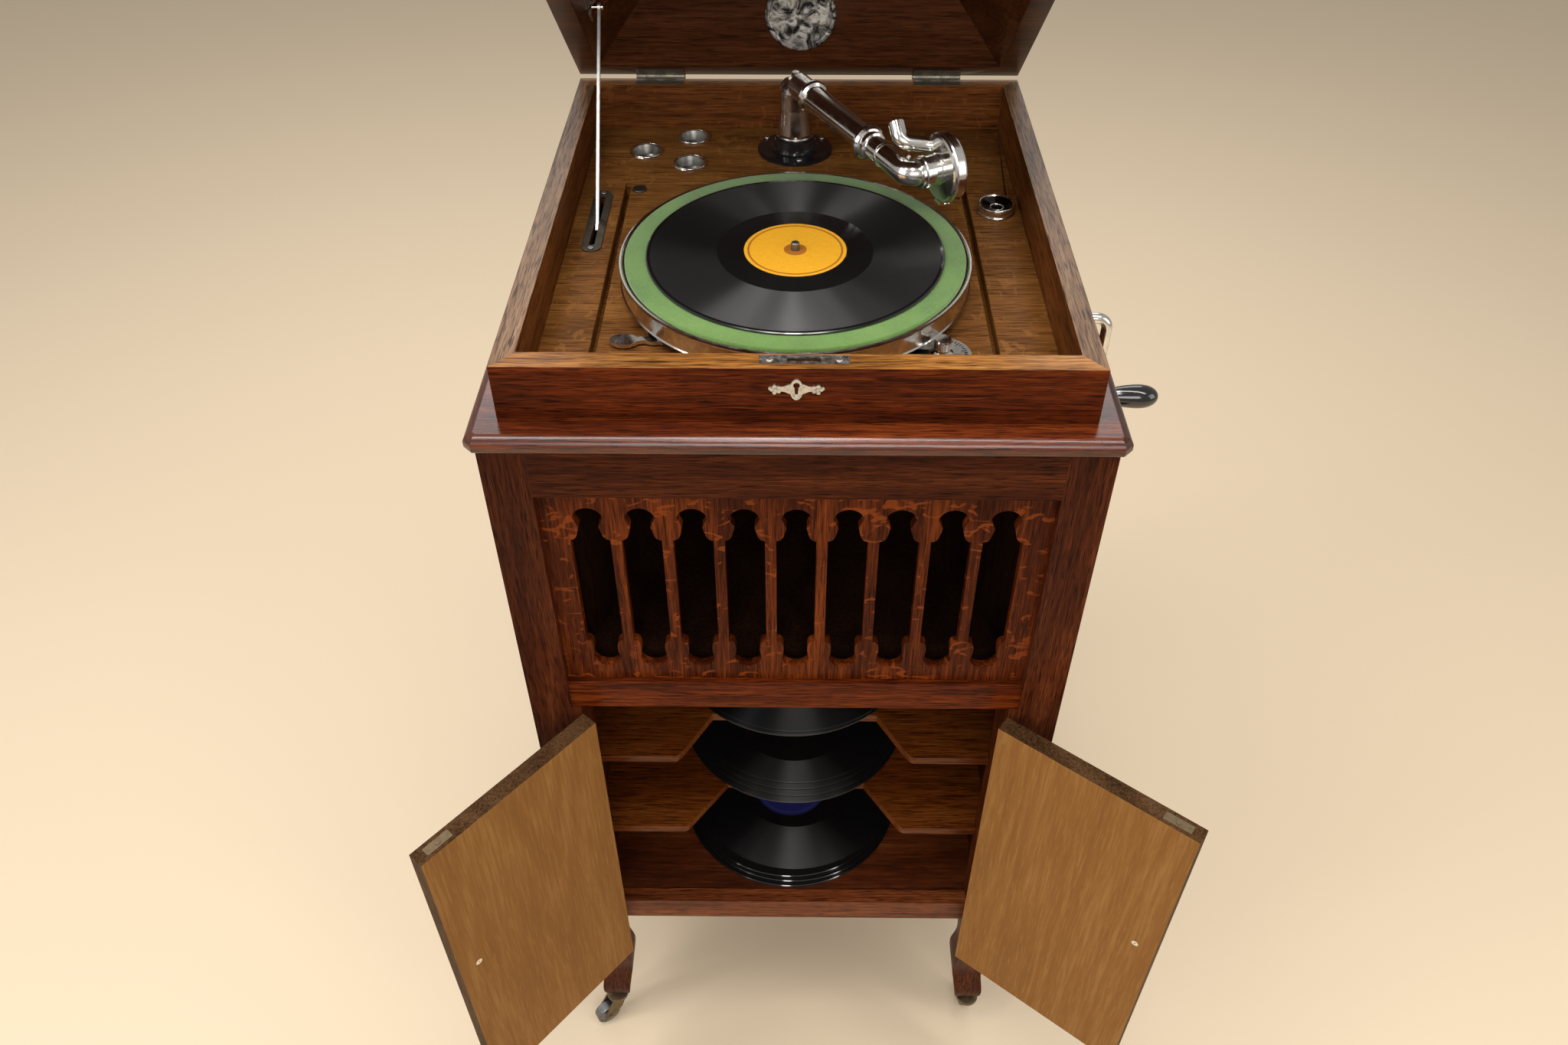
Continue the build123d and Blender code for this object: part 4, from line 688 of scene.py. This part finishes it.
beads("needle_cup_rims", [((x, y, DECK_Z + 0.0016), 0.0158) for x, y in NEEDLE_CUPS])
USED_CUP_RINGS = ((0.001, 0.0166), (0.0088, 0.0166), (0.0049, 0.0062))
used_rings = [((USED_CUP_X, USED_CUP_Y, DECK_Z + height), radius) for height, radius in USED_CUP_RINGS]
beads("used_needle_cup_beads", used_rings)

# the speed dial's scale: thin bars, every fourth one longer
DIAL_TOP_Z = DECK_Z + 0.0008
TICKS = 25
FIRST_TICK_DEG = -78.0
TICK_STEP_DEG = 7.6
TICK_END = 0.0212
TICK_HALF_WIDTH = 0.00028
TICK_HEIGHT = 0.0003


def tick_data(degrees, start, end):
    angle = math.radians(degrees)
    out = Vector((math.cos(angle), math.sin(angle), 0.0))
    beside = Vector((-out.y, out.x, 0.0))
    vertices = []
    for radius in (start, end):
        middle = Vector((KNOB_X, KNOB_Y, DIAL_TOP_Z)) + out * radius
        for level in (0.0, TICK_HEIGHT):
            for side in (-1, 1):
                vertices.append(middle + beside * TICK_HALF_WIDTH * side + UP * level)
    faces = [(2, 3, 7, 6), (0, 4, 5, 1), (0, 2, 6, 4), (1, 5, 7, 3), (0, 1, 3, 2), (4, 6, 7, 5)]
    return vertices, faces


ticks = []
for n in range(TICKS):
    inner = 0.0165 if n % 4 == 0 else 0.0185
    ticks.append(tick_data(FIRST_TICK_DEG + TICK_STEP_DEG * n, inner, TICK_END))
piece("dial_scale", *joined(ticks), BLACK_ENAMEL, "cabinet", "black_enamel")

# the ends of the knob screws, showing on the doors' inner faces
KNOB_FROM_HINGE = 0.176
KNOB_Z = 0.452
DOOR_HINGE_Y = -0.0036
DOOR_INNER_FACE = 0.0202
for side, turn in (("left", 1.0), ("right", -1.0)):
    angle = math.radians(DOOR_TURNS[side])
    inward = Vector((-math.sin(angle), math.cos(angle), 0.0))
    along = Vector((inward.y, -inward.x, 0.0)) * turn
    hinge = Vector((DOOR_HINGES_X[side], DOOR_HINGE_Y, KNOB_Z))
    spot = hinge + along * KNOB_FROM_HINGE + inward * DOOR_INNER_FACE
    vertices, faces = disc_data(spot, along, inward, 0.0008, 0.0034, 0.0006, 32)
    piece("knob_screw_" + side, vertices, faces, NICKEL, side + "_door", "brass")

# ---- floor, light and camera ----
FLOOR_HALF = 6.0
corners = [(x * FLOOR_HALF, y * FLOOR_HALF, 0.0) for x, y in ((-1, -1), (1, -1), (1, 1), (-1, 1))]
mesh = bpy.data.meshes.new("floor")
mesh.from_pydata(corners, [], [(0, 1, 2, 3)])
floor = bpy.data.objects.new("floor", mesh)
bpy.context.scene.collection.objects.link(floor)
mesh.materials.append(plain("pale floor", (0.7, 0.57, 0.405), 0.6))


def area_light(name, place, target, size, power, color):
    """A rectangle of light at a place, facing a target."""
    data = bpy.data.lights.new(name, "AREA")
    data.shape = "RECTANGLE"
    data.size = size[0]
    data.size_y = size[1]
    data.energy = power
    data.color = color
    light = bpy.data.objects.new(name, data)
    bpy.context.scene.collection.objects.link(light)
    light.location = place
    light.rotation_euler = (Vector(target) - Vector(place)).to_track_quat("-Z", "Y").to_euler()


MIDDLE = (0.0, 0.25, 0.8)
WARM = (1.0, 0.97, 0.93)
# narrow strips overhead, which draw the fans of light on the records
STRIPS_X = (-1.7, -0.8, -0.05, 0.75)
for number, x in enumerate(STRIPS_X):
    area_light("ceiling_%d" % number, (x, -0.2, 3.2), (x * 0.5, 0.15, 0.9), (0.22, 2.2), 21.0, WARM)
area_light("left_window", (-2.6, -1.4, 2.0), MIDDLE, (1.6, 1.8), 34.0, (0.97, 0.98, 1.0))
area_light("right_fill", (2.8, -1.0, 1.7), MIDDLE, (1.6, 1.8), 22.0, (1.0, 0.96, 0.9))
area_light("front_fill", (0.2, -2.9, 2.3), (0.0, 0.3, 0.9), (2.0, 1.2), 40.0, (1.0, 0.98, 0.95))
area_light("back_strip", (0.0, 2.4, 2.4), (0.0, 0.2, 1.0), (2.4, 0.8), 18.0, (1.0, 1.0, 1.0))

world = bpy.data.worlds.new("studio")
bpy.context.scene.world = world
world.use_nodes = True
background = world.node_tree.nodes["Background"]
background.inputs["Color"].default_value = (*WARM, 1.0)
background.inputs["Strength"].default_value = 0.4

camera_data = bpy.data.cameras.new("camera")
camera = bpy.data.objects.new("camera", camera_data)
bpy.context.scene.collection.objects.link(camera)
camera_data.sensor_width = 36.0
camera_data.lens = 27.97
camera.location = (-0.003, -0.7122, RIM_Z + 0.5178)
camera.rotation_euler = (math.radians(47.415), 0.0, math.radians(0.565))
bpy.context.scene.camera = camera

bpy.context.scene.view_settings.view_transform = "Standard"
